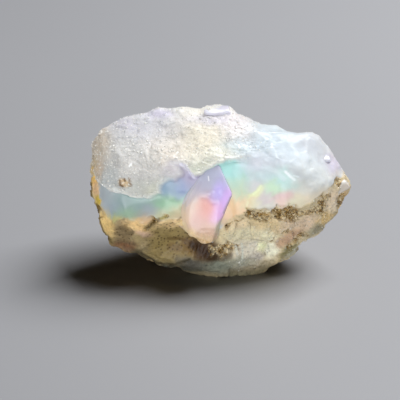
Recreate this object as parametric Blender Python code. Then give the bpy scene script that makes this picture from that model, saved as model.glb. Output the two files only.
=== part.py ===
"""A rough opal specimen: one natural stone, broken out of its host rock, resting on its underside.

The stone is measured as it is seen from the side it is shown from, slightly above. In that view u runs
right, v runs up and h comes towards the viewer, all in millimetres from the stone's middle. Its surface
is one distance from the middle for every direction: a pillow on the stone's outline, broken by flat
fracture faces and hollows, with the sugary crust's edge, a proud prism of clear opal and the pits added.
"""

from collections import namedtuple

import bmesh
import bpy
import numpy as np

# Driving dimensions, in millimetres
MM = 0.001
LENGTH = 48.0  # of the whole stone along u: another value makes the same stone larger or smaller
DRAWN_LENGTH = 48.0  # the length that all the measures below are given for
FRONT_DEPTH = 10.5  # from the middle to the crown of the front, before it is broken
BACK_DEPTH = 13.5  # from the middle to the crown of the back, before it is broken
ROUNDNESS = 2.4  # exponent of the pillow: 2 is an ellipsoid, more is boxier
VIEW_TILT = np.radians(27.0)  # how far above level the stone is looked at
MIDDLE = np.array([-0.16, -0.01, 13.9])  # the stone's middle above the flat that it rests on
CRUST_SKIN = 0.65  # how far the crust stands over the opal below its edge
CRUST_STEP = (-0.25, 0.35)  # where that step climbs, measured inwards from the crust's edge
CRUST_FADE_LEFT = (-23.5, -20.5)  # where that step grows from nothing, from the left end inwards
CRUST_FADE_RIGHT = (-22.5, -19.5)  # and the same from the right end, measured leftwards
FRONT_FADE = (-2.0, 1.0)  # the heights h between which the front's details grow from nothing
GRIT_GROOVE = 0.55  # depth of the gritty groove under the right window
GROOVE_SIDE = (0.2, 1.1)  # where the groove's sides climb, measured from its line
LUMP, LUMP_GRAIN, LUMP_SEED = 0.30, 0.28, 31  # height of the broad lumps all over, and their noise
RAGGED, RAGGED_GRAIN, RAGGED_SEEDS = 0.45, 0.9, (21, 22)  # how far the crust's edge and the pits stray
EDGE_WANDER = 0.03  # how far fracture edges wander, as a share of the distance from the middle
WANDER_GRAIN, WANDER_SEEDS = 4.1, (11, 12, 13)
SUBDIVISIONS, TRIANGLES_KEPT = 7, 8600  # of the icosphere, and the faces left after thinning
SPREAD = np.array([24.0, 15.0, 12.0])  # half sizes of the ellipsoid that the points start out even on
STONE_COLOUR = (0.80, 0.80, 0.76, 1.0)
STONE_ROUGHNESS = 0.45
FAR = 1000.0  # longer than any way out of the stone

# The stone's outline in the view, anticlockwise from the knob
OUTLINE = np.array([
    (24.0, 1.4), (23.3, 2.9), (20.9, 5.7), (18.9, 8.4), (17.3, 10.3), (15.9, 10.8), (13.2, 10.6),
    (11.4, 10.9), (9.1, 12.1), (7.2, 12.3), (4.9, 13.0), (2.8, 13.7), (1.4, 15.2), (-0.4, 15.8),
    (-2.4, 15.5), (-3.5, 14.7), (-9.2, 14.7), (-11.1, 15.1), (-12.6, 14.4), (-17.0, 13.5),
    (-20.0, 11.9), (-22.2, 11.1), (-23.6, 9.4), (-23.8, 6.8), (-24.0, 0.6), (-23.2, -1.6),
    (-22.2, -3.0), (-21.8, -5.1), (-19.8, -9.4), (-18.0, -10.6), (-14.9, -10.6), (-10.9, -12.9),
    (-8.0, -13.4), (-5.2, -14.5), (-1.7, -15.6), (6.3, -15.6), (8.2, -14.1), (10.2, -12.5),
    (12.5, -11.7), (14.4, -8.6), (17.5, -7.1), (19.1, -5.8), (21.2, -3.3), (22.6, -0.9), (23.5, 0.5),
])

# Flat faces of the front: a point (u, v, h), how h changes along u and v, and how soft the edges are
Face = namedtuple("Face", "name point slopes softness")
FACES = [
    Face("crust left", (-9, 5.0, 8.8), (0.06, -0.58), 2.2),
    Face("crust middle", (0, 7.5, 8.3), (-0.12, -0.66), 1.6),
    Face("crust right", (9, 7.5, 7.6), (-0.22, -0.55), 2.0),
    Face("crust far right", (15.5, 7, 5.2), (-0.85, -0.50), 1.6),
    Face("crust far left", (-18.5, 7.5, 5.6), (0.75, -0.50), 2.2),
    Face("left end", (-21.3, 1.0, 5.0), (2.2, 0.25), 1.2),
    Face("window left", (-13, -1.5, 8.3), (0.04, 0.06), 1.4),
    Face("window far left", (-19.5, -1.5, 6.9), (0.75, 0.05), 1.2),
    Face("window right", (7, 1.5, 8.7), (-0.08, 0.02), 1.6),
    Face("window right, low", (8, -2.0, 8.7), (-0.10, 0.30), 1.2),
    Face("window far right", (16, 0.0, 6.8), (-0.65, 0.10), 1.4),
    Face("rock under the right window", (8, -3.9, 7.6), (-0.18, 0.62), 0.5),
    Face("rock right, low", (6, -8.2, 4.7), (-0.28, 0.95), 0.7),
    Face("slab", (12.5, -6.5, 4.4), (-0.62, 0.90), 0.5),
    Face("right end, low", (18, -3.0, 3.6), (-1.1, 0.75), 0.6),
    Face("rock under the left window", (-12, -5.3, 7.8), (0.05, 0.66), 0.4),
    Face("left corner, low", (-18.2, -7.0, 4.2), (0.95, 0.62), 0.4),
    Face("underside front", (0, -13.0, 2.2), (0.0, 1.7), 0.8),
    Face("underside left", (-12, -11.8, 2.2), (0.7, 1.6), 0.8),
]

# Shell-shaped hollows, each left by a ball: its deepest point, the way it faces, radius, stretch along u
Hollow = namedtuple("Hollow", "name deepest facing radius stretch softness")
HOLLOWS = [
    Hollow("left window", (-12.5, -1.2, 7.5), (0.0, -0.10, 1), 8.0, 1.6, 0.5),
    Hollow("slab", (5.6, -9.4, 3.0), (0.1, -0.6, 1), 5.0, 1.2, 0.5),
    Hollow("right, low", (14.6, -5.4, 2.9), (0.5, -0.7, 1), 4.0, 1.0, 0.4),
    Hollow("top", (8.6, 11.8, 1.2), (0.1, 1.2, 0.8), 7.0, 1.0, 1.5),
    Hollow("back", (-7.0, 4.0, -9.3), (0.1, 0.35, -1), 9.0, 1.5, 0.4),
    Hollow("back, low", (11.0, -3.0, -7.6), (0.5, -0.2, -1), 6.0, 1.2, 0.4),
]

# Round dents in the front: centre, half sizes, turn in degrees and depth
Dent = namedtuple("Dent", "name u v half_u half_v turn depth")
DENT_FULLNESS = 0.8  # exponent of a dent's profile: 0.5 is a half ball, more has gentler sides
DENTS = [
    Dent("large bowl", -8.6, -8.5, 5.2, 3.3, -8, 2.6),
    Dent("small bowl", -17.6, -7.9, 2.0, 2.7, -20, 1.5),
    Dent("recess under the prism's tip", -3.6, -9.4, 2.5, 2.0, -35, 2.2),
    Dent("gritty pit", 0.6, -10.3, 2.7, 1.6, 12, 1.3),
    Dent("nick in the ledge", -12.6, -5.0, 0.8, 1.6, -38, 0.9),
    Dent("low step", 9.2, -9.6, 3.4, 1.5, 38, 0.8),
    Dent("groove beside the slab", 12.0, -7.4, 2.8, 0.8, 30, 0.8),
    Dent("pit in the crust", -17.0, 1.8, 1.2, 1.1, 0, 0.7),
]

# The proud prism is what lies inside all of these planes: a point on each and the way it faces
PRISM = [
    ((-6.0, -2.0, 9.0), (-0.94, 0.02, 0.30)),
    ((-5.2, 1.0, 9.0), (-0.90, 0.32, 0.30)),
    ((1.7, -0.6, 8.6), (0.96, -0.04, 0.16)),
    ((0.9, 3.0, 8.6), (0.93, 0.34, 0.16)),
    ((-2.5, 2.0, 9.6), (-0.08, 0.30, 1.0)),
    ((-3.0, -2.5, 9.9), (-0.16, -0.16, 1.0)),
    ((0.7, -1.0, 9.6), (0.55, -0.05, 0.85)),
    ((-2.0, -8.3, 7.0), (0.10, -1.0, -0.25)),
    ((-6.3, -6.2, 7.0), (-0.80, -0.58, 0.10)),
    ((0.2, -6.4, 7.0), (0.82, -0.56, 0.15)),
    ((-2.5, 5.2, 9.0), (0.0, 1.0, 0.30)),
    ((0.0, 0.0, -1.0), (0.0, 0.0, -1.0)),
]
PRISM_EDGE = 0.22  # softness of the edges between its faces
PRISM_FOOT = 0.15  # softness of the corner where it leaves the stone
PRISM_LUMP = 0.15  # share of the broad lumps that its faces keep

# Edges in the view: the crust's lower edge, closed far above the stone, and the gritty groove's line
CRUST = np.array([
    (-21.9, 2.6), (-19.4, 0.8), (-17.3, 0.0), (-15.3, -0.7), (-12.1, -0.7), (-10.4, 0.0), (-10.0, 1.5),
    (-8.0, 2.9), (-6.6, 3.6), (-8.1, 5.0), (-6.9, 5.2), (-4.5, 2.9), (-3.1, 3.3), (-1.0, 4.6), (1.1, 5.7),
    (3.1, 6.0), (5.9, 6.4), (10.1, 5.0), (11.8, 3.6), (13.6, 2.2), (15.6, 0.6), (18.1, 1.0), (20.6, 3.2),
    (23.0, 5.5), (27.0, 9.0), (27.0, 27.0), (-27.0, 27.0), (-27.0, 4.5), (-24.0, 3.4),
])
GROOVE = np.array([(4.5, -3.3), (9.4, -3.7), (13.6, -3.3), (17.4, -1.9), (18.3, -0.5), (21.2, 1.5)])
KNOB_CENTRE, KNOB_RADIUS, KNOB_SOFTNESS = (21.6, 1.3, 0.4), 2.2, 1.4

# Broken faces of the back and ends, set out by a fixed draw
BACK_FACES, BACK_SEED = 26, 5
BACK_LEAST_TURN = -0.28  # a broken face points at least this far away from the viewer
BACK_MOST_DOWN = 0.72  # and no nearer to straight down than this, to keep the flat it rests on
BACK_KEPT = (0.78, 0.93)  # share of the pillow's depth left under a broken face
BACK_SOFTNESS = 0.5


def grid_value(corner, seed):
    """A fixed value from 0 to 1 for each whole-number corner of a unit grid."""
    x, y, z = (corner[..., i].astype(np.int64) for i in range(3))
    n = (x * 73856093) ^ (y * 19349663) ^ (z * 83492791) ^ (seed * 2654435761)
    n = ((n ^ (n >> 13)) * 1274126177) & 0x7FFFFFFF
    n = ((n ^ (n >> 16)) * 668265263) & 0x7FFFFFFF
    n = n ^ (n >> 15)
    return (n & 0xFFFFFF) / 0xFFFFFF


def smooth_noise(p, seed):
    """Noise from -1 to 1: the grid's values, blended between the eight corners around each point."""
    corner = np.floor(p)
    t = p - corner
    t = t * t * t * (t * (6 * t - 15) + 10)
    total = np.zeros(len(p))
    for step in np.ndindex(2, 2, 2):
        weight = np.prod(np.where(step, t, 1 - t), axis=1)
        total += weight * grid_value(corner + step, seed)
    return 2 * total - 1


def fractal(p, octaves, seed):
    """Layers of smooth noise, each twice as fine and half as strong as the one before."""
    layers = [smooth_noise(p * 2.03**i + 17.3 * i, seed + i) / 2**i for i in range(octaves)]
    return sum(layers) / sum(0.5**i for i in range(octaves))


def ramp(low, high, x):
    """0 below low, 1 above high, and a smooth climb between."""
    t = np.clip((x - low) / (high - low), 0, 1)
    return t * t * (3 - 2 * t)


def soft_min(a, b, softness):
    near = np.clip(1 - np.abs(a - b) / softness, 0, 1)
    return np.minimum(a, b) - near * near * softness / 4


def soft_max(a, b, softness):
    return -soft_min(-a, -b, softness)


def unit(vector):
    vector = np.asarray(vector, float)
    return vector / np.linalg.norm(vector, axis=-1, keepdims=True)


def reach_of_plane(d, normal, distance):
    """How far each direction goes before it meets the plane."""
    along = d @ normal
    return np.where(along > 1e-6, distance / np.maximum(along, 1e-6), FAR)


def reach_of_hollow(d, hollow):
    """How far each direction goes before it enters the ball that left the hollow."""
    stretch = np.array([hollow.stretch, 1.0, 1.0])
    centre = (np.array(hollow.deepest) + unit(hollow.facing) * hollow.radius) / stretch
    e = d / stretch
    a = (e * e).sum(1)
    b = e @ centre
    inside = b**2 - a * (centre @ centre - hollow.radius**2)
    return np.where((inside > 0) & (b > 0), (b - np.sqrt(np.maximum(inside, 0))) / a, FAR)


def reach_of_knob(d):
    """How far each direction goes before it leaves the knob's ball, or 0 where it misses it."""
    centre = np.array(KNOB_CENTRE)
    along = d @ centre
    inside = along**2 - centre @ centre + KNOB_RADIUS**2
    return np.where((inside > 0) & (along > 0), along + np.sqrt(np.maximum(inside, 0)), 0)


def outline_radius(angle):
    corners = np.arctan2(OUTLINE[:, 1], OUTLINE[:, 0])
    order = np.argsort(corners)
    return np.interp(angle, corners[order], np.hypot(*OUTLINE[order].T), period=2 * np.pi)


# Away from the outline the pillow follows a rounder one, so that its corners don't run to the crown
TURN = np.linspace(-np.pi, np.pi, 721)
ROUNDED = np.mean([outline_radius(TURN + np.radians(a)) for a in range(-24, 25, 3)], axis=0)
OUTLINE_REACH = 0.5  # how far towards the crown the outline's own corners go


def reach_of_pillow(d):
    """A superellipse between the outline's radius and the depth of the front or the back."""
    angle = np.arctan2(d[:, 1], d[:, 0])
    near_outline = np.exp(-((d[:, 2] / OUTLINE_REACH) ** 2))
    across = outline_radius(angle) * near_outline + np.interp(angle, TURN, ROUNDED) * (1 - near_outline)
    depth = np.where(d[:, 2] > 0, FRONT_DEPTH, BACK_DEPTH)
    flat = np.hypot(d[:, 0], d[:, 1])
    return ((flat / across) ** ROUNDNESS + (np.abs(d[:, 2]) / depth) ** ROUNDNESS) ** (-1 / ROUNDNESS)


def back_faces():
    """Normals and distances of the broken faces, none of which cuts into the outline."""
    draw = np.random.default_rng(BACK_SEED)
    normals = unit(draw.normal(size=(BACK_FACES * 4, 3)))
    down = np.array([0, -np.cos(VIEW_TILT), -np.sin(VIEW_TILT)])
    wanted = (normals[:, 2] < BACK_LEAST_TURN) & (normals @ down < BACK_MOST_DOWN)
    normals = normals[wanted][:BACK_FACES]
    kept = draw.uniform(*BACK_KEPT, len(normals)) * reach_of_pillow(normals)
    ring = np.c_[OUTLINE, np.zeros(len(OUTLINE))]
    return zip(normals, np.maximum(kept, (normals @ ring.T).max(axis=1)))


def depth_inside(points, outline):
    """Distance of each point from a closed outline, positive inside it and negative outside."""
    nearest = np.full(len(points), FAR)
    inside = np.zeros(len(points), bool)
    for start, end in zip(outline, np.roll(outline, -1, axis=0)):
        nearest = np.minimum(nearest, distance_to_line(points, start, end))
        crosses = (start[1] > points[:, 1]) != (end[1] > points[:, 1])
        rise = end[1] - start[1]
        if rise:
            at = start[0] + (points[:, 1] - start[1]) * (end[0] - start[0]) / rise
            inside ^= crosses & (points[:, 0] < at)
    return np.where(inside, nearest, -nearest)


def distance_to_line(points, start, end):
    along = end - start
    share = np.clip((points - start) @ along / (along @ along), 0, 1)
    return np.hypot(*(points - start - share[:, None] * along).T)


def dent_depth(uv, dent):
    """The depth of a dent at each point: deepest at its centre, nothing past its rim."""
    turn = np.radians(dent.turn)
    du = uv[:, 0] - dent.u
    dv = uv[:, 1] - dent.v
    a = (du * np.cos(turn) + dv * np.sin(turn)) / dent.half_u
    b = (-du * np.sin(turn) + dv * np.cos(turn)) / dent.half_v
    return dent.depth * np.clip(1 - a * a - b * b, 0, 1) ** DENT_FULLNESS


def reach_of_prism(d):
    reach = np.full(len(d), FAR)
    for point, facing in PRISM:
        normal = unit(facing)
        reach = soft_min(reach, reach_of_plane(d, normal, normal @ np.array(point)), PRISM_EDGE)
    return reach


def reach_of_stone(d):
    """The distance from the stone's middle to its surface, for each direction."""
    wander = np.stack([fractal(d * WANDER_GRAIN, 2, seed) for seed in WANDER_SEEDS], axis=1)
    bent = unit(d + EDGE_WANDER * wander)
    r = reach_of_pillow(d)
    for normal, distance in back_faces():
        r = soft_min(r, reach_of_plane(bent, normal, distance), BACK_SOFTNESS)
    for face in FACES:
        normal = unit((-face.slopes[0], -face.slopes[1], 1.0))
        r = soft_min(r, reach_of_plane(bent, normal, normal @ np.array(face.point)), face.softness)
    for hollow in HOLLOWS:
        r = soft_min(r, reach_of_hollow(bent, hollow), hollow.softness)

    p = d * r[:, None]
    ragged = np.stack([fractal(p * RAGGED_GRAIN, 3, seed) for seed in RAGGED_SEEDS], axis=1)
    uv = p[:, :2] + RAGGED * ragged
    front = ramp(*FRONT_FADE, p[:, 2])
    ends = ramp(*CRUST_FADE_LEFT, uv[:, 0]) * ramp(*CRUST_FADE_RIGHT, -uv[:, 0])
    r = r + front * ends * CRUST_SKIN * ramp(*CRUST_STEP, depth_inside(uv, CRUST))
    groove = np.min([distance_to_line(uv, a, b) for a, b in zip(GROOVE, GROOVE[1:])], axis=0)
    r = r - front * GRIT_GROOVE * (1 - ramp(*GROOVE_SIDE, groove))
    for dent in DENTS:
        r = r - front * dent_depth(uv, dent)
    prism = reach_of_prism(bent)
    lump = np.where(prism > r, PRISM_LUMP, 1.0) * LUMP
    r = soft_max(r, prism, PRISM_FOOT)
    r = soft_max(r, reach_of_knob(d), KNOB_SOFTNESS)
    return r + lump * fractal(p * LUMP_GRAIN, 2, LUMP_SEED)


def in_place(p):
    """From the view's u, v and h to the part's own frame: x right, y away and z up, in metres."""
    u, v, h = p.T
    x = u
    y = v * np.sin(VIEW_TILT) - h * np.cos(VIEW_TILT)
    z = v * np.cos(VIEW_TILT) + h * np.sin(VIEW_TILT)
    return (np.stack([x, y, z], axis=1) + MIDDLE) * MM * LENGTH / DRAWN_LENGTH


def clear_scene():
    for obj in list(bpy.data.objects):
        bpy.data.objects.remove(obj)


def collection(name):
    made = bpy.data.collections.new(name)
    bpy.context.scene.collection.children.link(made)
    return made


def opal_material():
    material = bpy.data.materials.new("milky opal")
    material.use_nodes = True
    shader = material.node_tree.nodes["Principled BSDF"]
    shader.inputs["Base Color"].default_value = STONE_COLOUR
    shader.inputs["Roughness"].default_value = STONE_ROUGHNESS
    shader.inputs["Metallic"].default_value = 0.0
    return material


def make_stone(parts):
    """An icosphere, stretched so that its points spread evenly over the stone, then set to the surface."""
    mesh = bpy.data.meshes.new("opal_stone")
    ball = bmesh.new()
    bmesh.ops.create_icosphere(ball, subdivisions=SUBDIVISIONS, radius=1.0)
    ball.to_mesh(mesh)
    ball.free()
    start = np.empty(len(mesh.vertices) * 3, np.float32)
    mesh.vertices.foreach_get("co", start)
    directions = unit(start.reshape(-1, 3).astype(float) * SPREAD)
    surface = in_place(directions * reach_of_stone(directions)[:, None])
    mesh.vertices.foreach_set("co", surface.astype(np.float32).ravel())
    mesh.update()
    stone = bpy.data.objects.new("opal_stone", mesh)
    mesh.materials.append(opal_material())
    parts.objects.link(stone)
    thin = stone.modifiers.new("fewer faces", "DECIMATE")
    thin.ratio = TRIANGLES_KEPT / len(mesh.polygons)
    return stone


def make_rest_cutter(stone, helpers):
    """A box whose top is the surface the stone rests on: it takes off what hangs below, leaving a flat."""
    size = 2 * LENGTH * MM
    mesh = bpy.data.meshes.new("rest_cutter")
    box = bmesh.new()
    bmesh.ops.create_cube(box, size=size)
    box.to_mesh(mesh)
    box.free()
    cutter = bpy.data.objects.new("rest_cutter", mesh)
    cutter.location = (0, 0, -size / 2)
    cutter.hide_render = True
    cutter.display_type = "WIRE"
    helpers.objects.link(cutter)
    cut = stone.modifiers.new("flat to rest on", "BOOLEAN")
    cut.operation = "DIFFERENCE"
    cut.object = cutter


def main():
    clear_scene()
    parts = collection("rough opal specimen")
    helpers = collection("cutters")
    stone = make_stone(parts)
    make_rest_cutter(stone, helpers)


main()
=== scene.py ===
# %% [markdown]
# # A rough opal specimen
# A natural stone, about 48 mm long: clear opal windows with play-of-colour, a white sugary crust on top
# and tan host rock below. It could be sculpted by hand, but a stone is easier to describe than to push
# about: every surface here is a formula, so the same stone comes out each time and any part of it can be
# turned up or down by one value. The plain solid that the stone replaces comes from the frame.

from collections import namedtuple

import bpy
import numpy as np
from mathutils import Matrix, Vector


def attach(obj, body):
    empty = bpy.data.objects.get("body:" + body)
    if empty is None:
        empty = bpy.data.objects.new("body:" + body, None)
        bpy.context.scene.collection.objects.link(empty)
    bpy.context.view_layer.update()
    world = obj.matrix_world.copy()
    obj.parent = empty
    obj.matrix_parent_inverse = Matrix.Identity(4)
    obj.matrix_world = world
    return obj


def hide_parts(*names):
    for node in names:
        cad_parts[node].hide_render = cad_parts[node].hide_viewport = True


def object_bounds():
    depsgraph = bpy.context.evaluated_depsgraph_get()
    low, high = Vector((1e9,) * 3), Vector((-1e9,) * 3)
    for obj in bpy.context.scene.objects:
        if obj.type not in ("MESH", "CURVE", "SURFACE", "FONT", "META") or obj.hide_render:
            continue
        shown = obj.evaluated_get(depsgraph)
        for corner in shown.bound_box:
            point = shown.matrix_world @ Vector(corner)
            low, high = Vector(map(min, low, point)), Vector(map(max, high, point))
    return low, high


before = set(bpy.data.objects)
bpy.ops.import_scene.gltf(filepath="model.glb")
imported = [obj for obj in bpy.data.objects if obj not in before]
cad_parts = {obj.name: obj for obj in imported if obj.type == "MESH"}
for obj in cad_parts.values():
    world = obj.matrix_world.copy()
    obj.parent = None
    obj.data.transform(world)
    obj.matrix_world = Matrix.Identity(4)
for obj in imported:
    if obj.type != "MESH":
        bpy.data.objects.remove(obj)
CAD_BOX = [list(corner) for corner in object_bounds()]
MM = 0.001
print("solid's box in mm:", np.round(np.array(CAD_BOX) / MM, 1).tolist())

# %% [markdown]
# ## Where things are
# A stone has no square sides to measure from, so it is described as it is looked at: u runs right, v runs
# up and h comes towards the viewer, in millimetres from the stone's middle. The viewer looks down by 27
# degrees. One function turns those three numbers into the frame's x, y and z.

# %% From the view to the frame
VIEW_TILT = np.radians(27.0)
MIDDLE = np.array([-0.16, -0.01, 13.9])  # the stone's middle above the surface it rests on
DRAWN_LENGTH = 47.812  # the solid's length, in mm, when the stone was drawn
SCALE = (CAD_BOX[1][0] - CAD_BOX[0][0]) / MM / DRAWN_LENGTH


def in_place(p):
    """x is u; y and z are v and h turned by the tilt of the view; then the middle is added."""
    u, v, h = p.T
    y = v * np.sin(VIEW_TILT) - h * np.cos(VIEW_TILT)
    z = v * np.cos(VIEW_TILT) + h * np.sin(VIEW_TILT)
    return (np.stack([u, y, z], axis=1) + MIDDLE) * MM * SCALE


print("scale against the stone as drawn:", round(SCALE, 4))

# %% [markdown]
# ## Noise
# Nothing on a stone is straight or even, so nearly every step below needs noise. Blender's noise textures
# can't be read from numpy, but the recipe is short: a fixed random value at each corner of a grid, blended
# between the corners, and a few layers of that on top of each other. Grains need another kind: random
# points, and for each place the nearest of them, which cuts space into cells.

# %% Smooth noise and cells
def grid_value(corner, seed):
    """A fixed value from 0 to 1 for each whole-number corner of a unit grid, by mixing its bits."""
    x, y, z = (corner[..., i].astype(np.int64) for i in range(3))
    n = (x * 73856093) ^ (y * 19349663) ^ (z * 83492791) ^ (seed * 2654435761)
    n = ((n ^ (n >> 13)) * 1274126177) & 0x7FFFFFFF
    n = ((n ^ (n >> 16)) * 668265263) & 0x7FFFFFFF
    n = n ^ (n >> 15)
    return (n & 0xFFFFFF) / 0xFFFFFF


def smooth_noise(p, seed):
    """Noise from -1 to 1: the eight grid values around each point, weighted by how near they are."""
    corner = np.floor(p)
    t = p - corner
    t = t * t * t * (t * (6 * t - 15) + 10)
    total = np.zeros(len(p))
    for step in np.ndindex(2, 2, 2):
        total += np.prod(np.where(step, t, 1 - t), axis=1) * grid_value(corner + step, seed)
    return 2 * total - 1


def fractal(p, octaves, seed):
    """Layers of smooth noise, each twice as fine and half as strong as the one before."""
    layers = [smooth_noise(p * 2.03**i + 17.3 * i, seed + i) / 2**i for i in range(octaves)]
    return sum(layers) / sum(0.5**i for i in range(octaves))


def noise_ways(p, octaves, seeds):
    """A small random push at each point: one layered noise for each of its numbers."""
    return np.stack([fractal(p, octaves, seed) for seed in seeds], axis=1)


def cells(p, seed):
    """For each point: the distance to the nearest and second nearest of a set of random points, one to each
    unit cube, the way from the nearest one to here, and four random values that belong to it."""
    base = np.floor(p)
    first = np.full(len(p), 9.0)
    second = first.copy()
    way = np.zeros_like(p)
    owner = np.zeros_like(p)
    for step in np.ndindex(3, 3, 3):
        corner = base + step - 1
        spot = corner + np.stack([grid_value(corner, seed + i) for i in range(3)], axis=1)
        gap = np.linalg.norm(p - spot, axis=1)
        nearer = gap < first
        second = np.where(nearer, first, np.minimum(second, gap))
        first = np.where(nearer, gap, first)
        way = np.where(nearer[:, None], p - spot, way)
        owner = np.where(nearer[:, None], corner, owner)
    marks = np.stack([grid_value(owner, seed + 5 + i) for i in range(4)], axis=1)
    return first, second, way, marks


def ramp(low, high, x):
    """0 below low, 1 above high, and a smooth climb between."""
    t = np.clip((x - low) / (high - low), 0, 1)
    return t * t * (3 - 2 * t)


def unit(vector):
    """The same direction, one long."""
    vector = np.asarray(vector, float)
    return vector / np.linalg.norm(vector, axis=-1, keepdims=True)


# %% [markdown]
# ## The form: a pillow, broken by planes and hollows
# Seen from its middle, this stone has one distance to its surface in every direction. So its form is one
# function of direction. It starts as a pillow on the stone's outline. Each fracture face is a plane: the
# distance to the plane, where that is shorter, takes over. A soft minimum joins them, so that edges are a
# little worn. Shell-shaped hollows are bites of a large ball, as opal breaks like glass.

# %% The outline and the fracture faces
FRONT_DEPTH, BACK_DEPTH, ROUNDNESS = 10.5, 13.5, 2.4
EDGE_WANDER, EDGE_GRAIN, EDGE_SEEDS, FAR = 0.03, 4.1, (11, 12, 13), 1000.0
OUTLINE = np.array([
    (24.0, 1.4), (23.3, 2.9), (20.9, 5.7), (18.9, 8.4), (17.3, 10.3), (15.9, 10.8), (13.2, 10.6),
    (11.4, 10.9), (9.1, 12.1), (7.2, 12.3), (4.9, 13.0), (2.8, 13.7), (1.4, 15.2), (-0.4, 15.8),
    (-2.4, 15.5), (-3.5, 14.7), (-9.2, 14.7), (-11.1, 15.1), (-12.6, 14.4), (-17.0, 13.5),
    (-20.0, 11.9), (-22.2, 11.1), (-23.6, 9.4), (-23.8, 6.8), (-24.0, 0.6), (-23.2, -1.6),
    (-22.2, -3.0), (-21.8, -5.1), (-19.8, -9.4), (-18.0, -10.6), (-14.9, -10.6), (-10.9, -12.9),
    (-8.0, -13.4), (-5.2, -14.5), (-1.7, -15.6), (6.3, -15.6), (8.2, -14.1), (10.2, -12.5),
    (12.5, -11.7), (14.4, -8.6), (17.5, -7.1), (19.1, -5.8), (21.2, -3.3), (22.6, -0.9), (23.5, 0.5),
])

Face = namedtuple("Face", "name point slopes softness")
FACES = [
    Face("crust left", (-9, 5.0, 8.8), (0.06, -0.58), 2.2),
    Face("crust middle", (0, 7.5, 8.3), (-0.12, -0.66), 1.6),
    Face("crust right", (9, 7.5, 7.6), (-0.22, -0.55), 2.0),
    Face("crust far right", (15.5, 7, 5.2), (-0.85, -0.50), 1.6),
    Face("crust far left", (-18.5, 7.5, 5.6), (0.75, -0.50), 2.2),
    Face("left end", (-21.3, 1.0, 5.0), (2.2, 0.25), 1.2),
    Face("window left", (-13, -1.5, 8.3), (0.04, 0.06), 1.4),
    Face("window far left", (-19.5, -1.5, 6.9), (0.75, 0.05), 2.2),
    Face("window right", (7, 1.5, 8.7), (-0.08, 0.02), 1.6),
    Face("window right, low", (8, -2.0, 8.7), (-0.10, 0.30), 1.2),
    Face("window far right", (16, 0.0, 6.8), (-0.65, 0.10), 1.4),
    Face("rock under the right window", (8, -3.9, 7.6), (-0.18, 0.62), 0.5),
    Face("rock right, low", (6, -8.2, 4.7), (-0.28, 0.95), 0.7),
    Face("slab", (12.5, -6.5, 4.4), (-0.62, 0.90), 0.5),
    Face("right end, low", (18, -3.0, 3.6), (-1.1, 0.75), 0.6),
    Face("rock under the left window", (-12, -5.3, 7.8), (0.05, 0.66), 0.4),
    Face("left corner, low", (-18.2, -7.0, 4.2), (0.95, 0.62), 0.4),
    Face("underside front", (0, -13.0, 2.2), (0.0, 1.7), 0.8),
    Face("underside left", (-12, -11.8, 2.2), (0.7, 1.6), 0.8),
]

Hollow = namedtuple("Hollow", "name deepest facing radius stretch softness")
HOLLOWS = [
    Hollow("left window", (-12.5, -1.2, 7.5), (0.0, -0.10, 1), 8.0, 1.6, 2.6),
    Hollow("slab", (5.6, -9.4, 3.0), (0.1, -0.6, 1), 5.0, 1.2, 0.5),
    Hollow("right, low", (14.6, -5.4, 2.9), (0.5, -0.7, 1), 4.0, 1.0, 0.4),
    Hollow("top", (8.6, 11.8, 1.2), (0.1, 1.2, 0.8), 7.0, 1.0, 1.5),
    Hollow("back", (-7.0, 4.0, -9.3), (0.1, 0.35, -1), 9.0, 1.5, 1.6),
    Hollow("back, low", (11.0, -3.0, -7.6), (0.5, -0.2, -1), 6.0, 1.2, 0.4),
]
BACK_FACES, BACK_SEED, BACK_LEAST_TURN, BACK_MOST_DOWN = 26, 5, -0.28, 0.72
BACK_KEPT, BACK_SOFTNESS = (0.78, 0.93), 0.5
print(len(FACES), "named faces,", BACK_FACES, "drawn ones and", len(HOLLOWS), "hollows")


# %% Distances along a direction
def soft_min(a, b, softness):
    """The smaller of two distances, with the corner between them rounded off over the softness."""
    near = np.clip(1 - np.abs(a - b) / softness, 0, 1)
    return np.minimum(a, b) - near * near * softness / 4


def reach_of_plane(d, normal, distance):
    """Distance over the cosine between direction and normal; none where they turn away from each other."""
    along = d @ normal
    return np.where(along > 1e-6, distance / np.maximum(along, 1e-6), FAR)


def reach_of_hollow(d, hollow):
    """The nearer root of the quadratic for where a ray from the middle meets the hollow's ball."""
    stretch = np.array([hollow.stretch, 1.0, 1.0])
    centre = (np.array(hollow.deepest) + unit(hollow.facing) * hollow.radius) / stretch
    e = d / stretch
    a = (e * e).sum(1)
    b = e @ centre
    inside = b**2 - a * (centre @ centre - hollow.radius**2)
    return np.where((inside > 0) & (b > 0), (b - np.sqrt(np.maximum(inside, 0))) / a, FAR)


def outline_radius(angle):
    """The outline's radius at each angle, straight between its corners."""
    corners = np.arctan2(OUTLINE[:, 1], OUTLINE[:, 0])
    order = np.argsort(corners)
    return np.interp(angle, corners[order], np.hypot(*OUTLINE[order].T), period=2 * np.pi)


TURN = np.linspace(-np.pi, np.pi, 721)
ROUNDED = np.mean([outline_radius(TURN + np.radians(a)) for a in range(-24, 25, 3)], axis=0)
OUTLINE_REACH = 0.5


def reach_of_pillow(d):
    """A superellipse between the outline's radius and the depth; near the crown the outline is rounder."""
    angle = np.arctan2(d[:, 1], d[:, 0])
    near_outline = np.exp(-((d[:, 2] / OUTLINE_REACH) ** 2))
    across = outline_radius(angle) * near_outline + np.interp(angle, TURN, ROUNDED) * (1 - near_outline)
    depth = np.where(d[:, 2] > 0, FRONT_DEPTH, BACK_DEPTH)
    flat = np.hypot(d[:, 0], d[:, 1])
    return ((flat / across) ** ROUNDNESS + (np.abs(d[:, 2]) / depth) ** ROUNDNESS) ** (-1 / ROUNDNESS)


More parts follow.
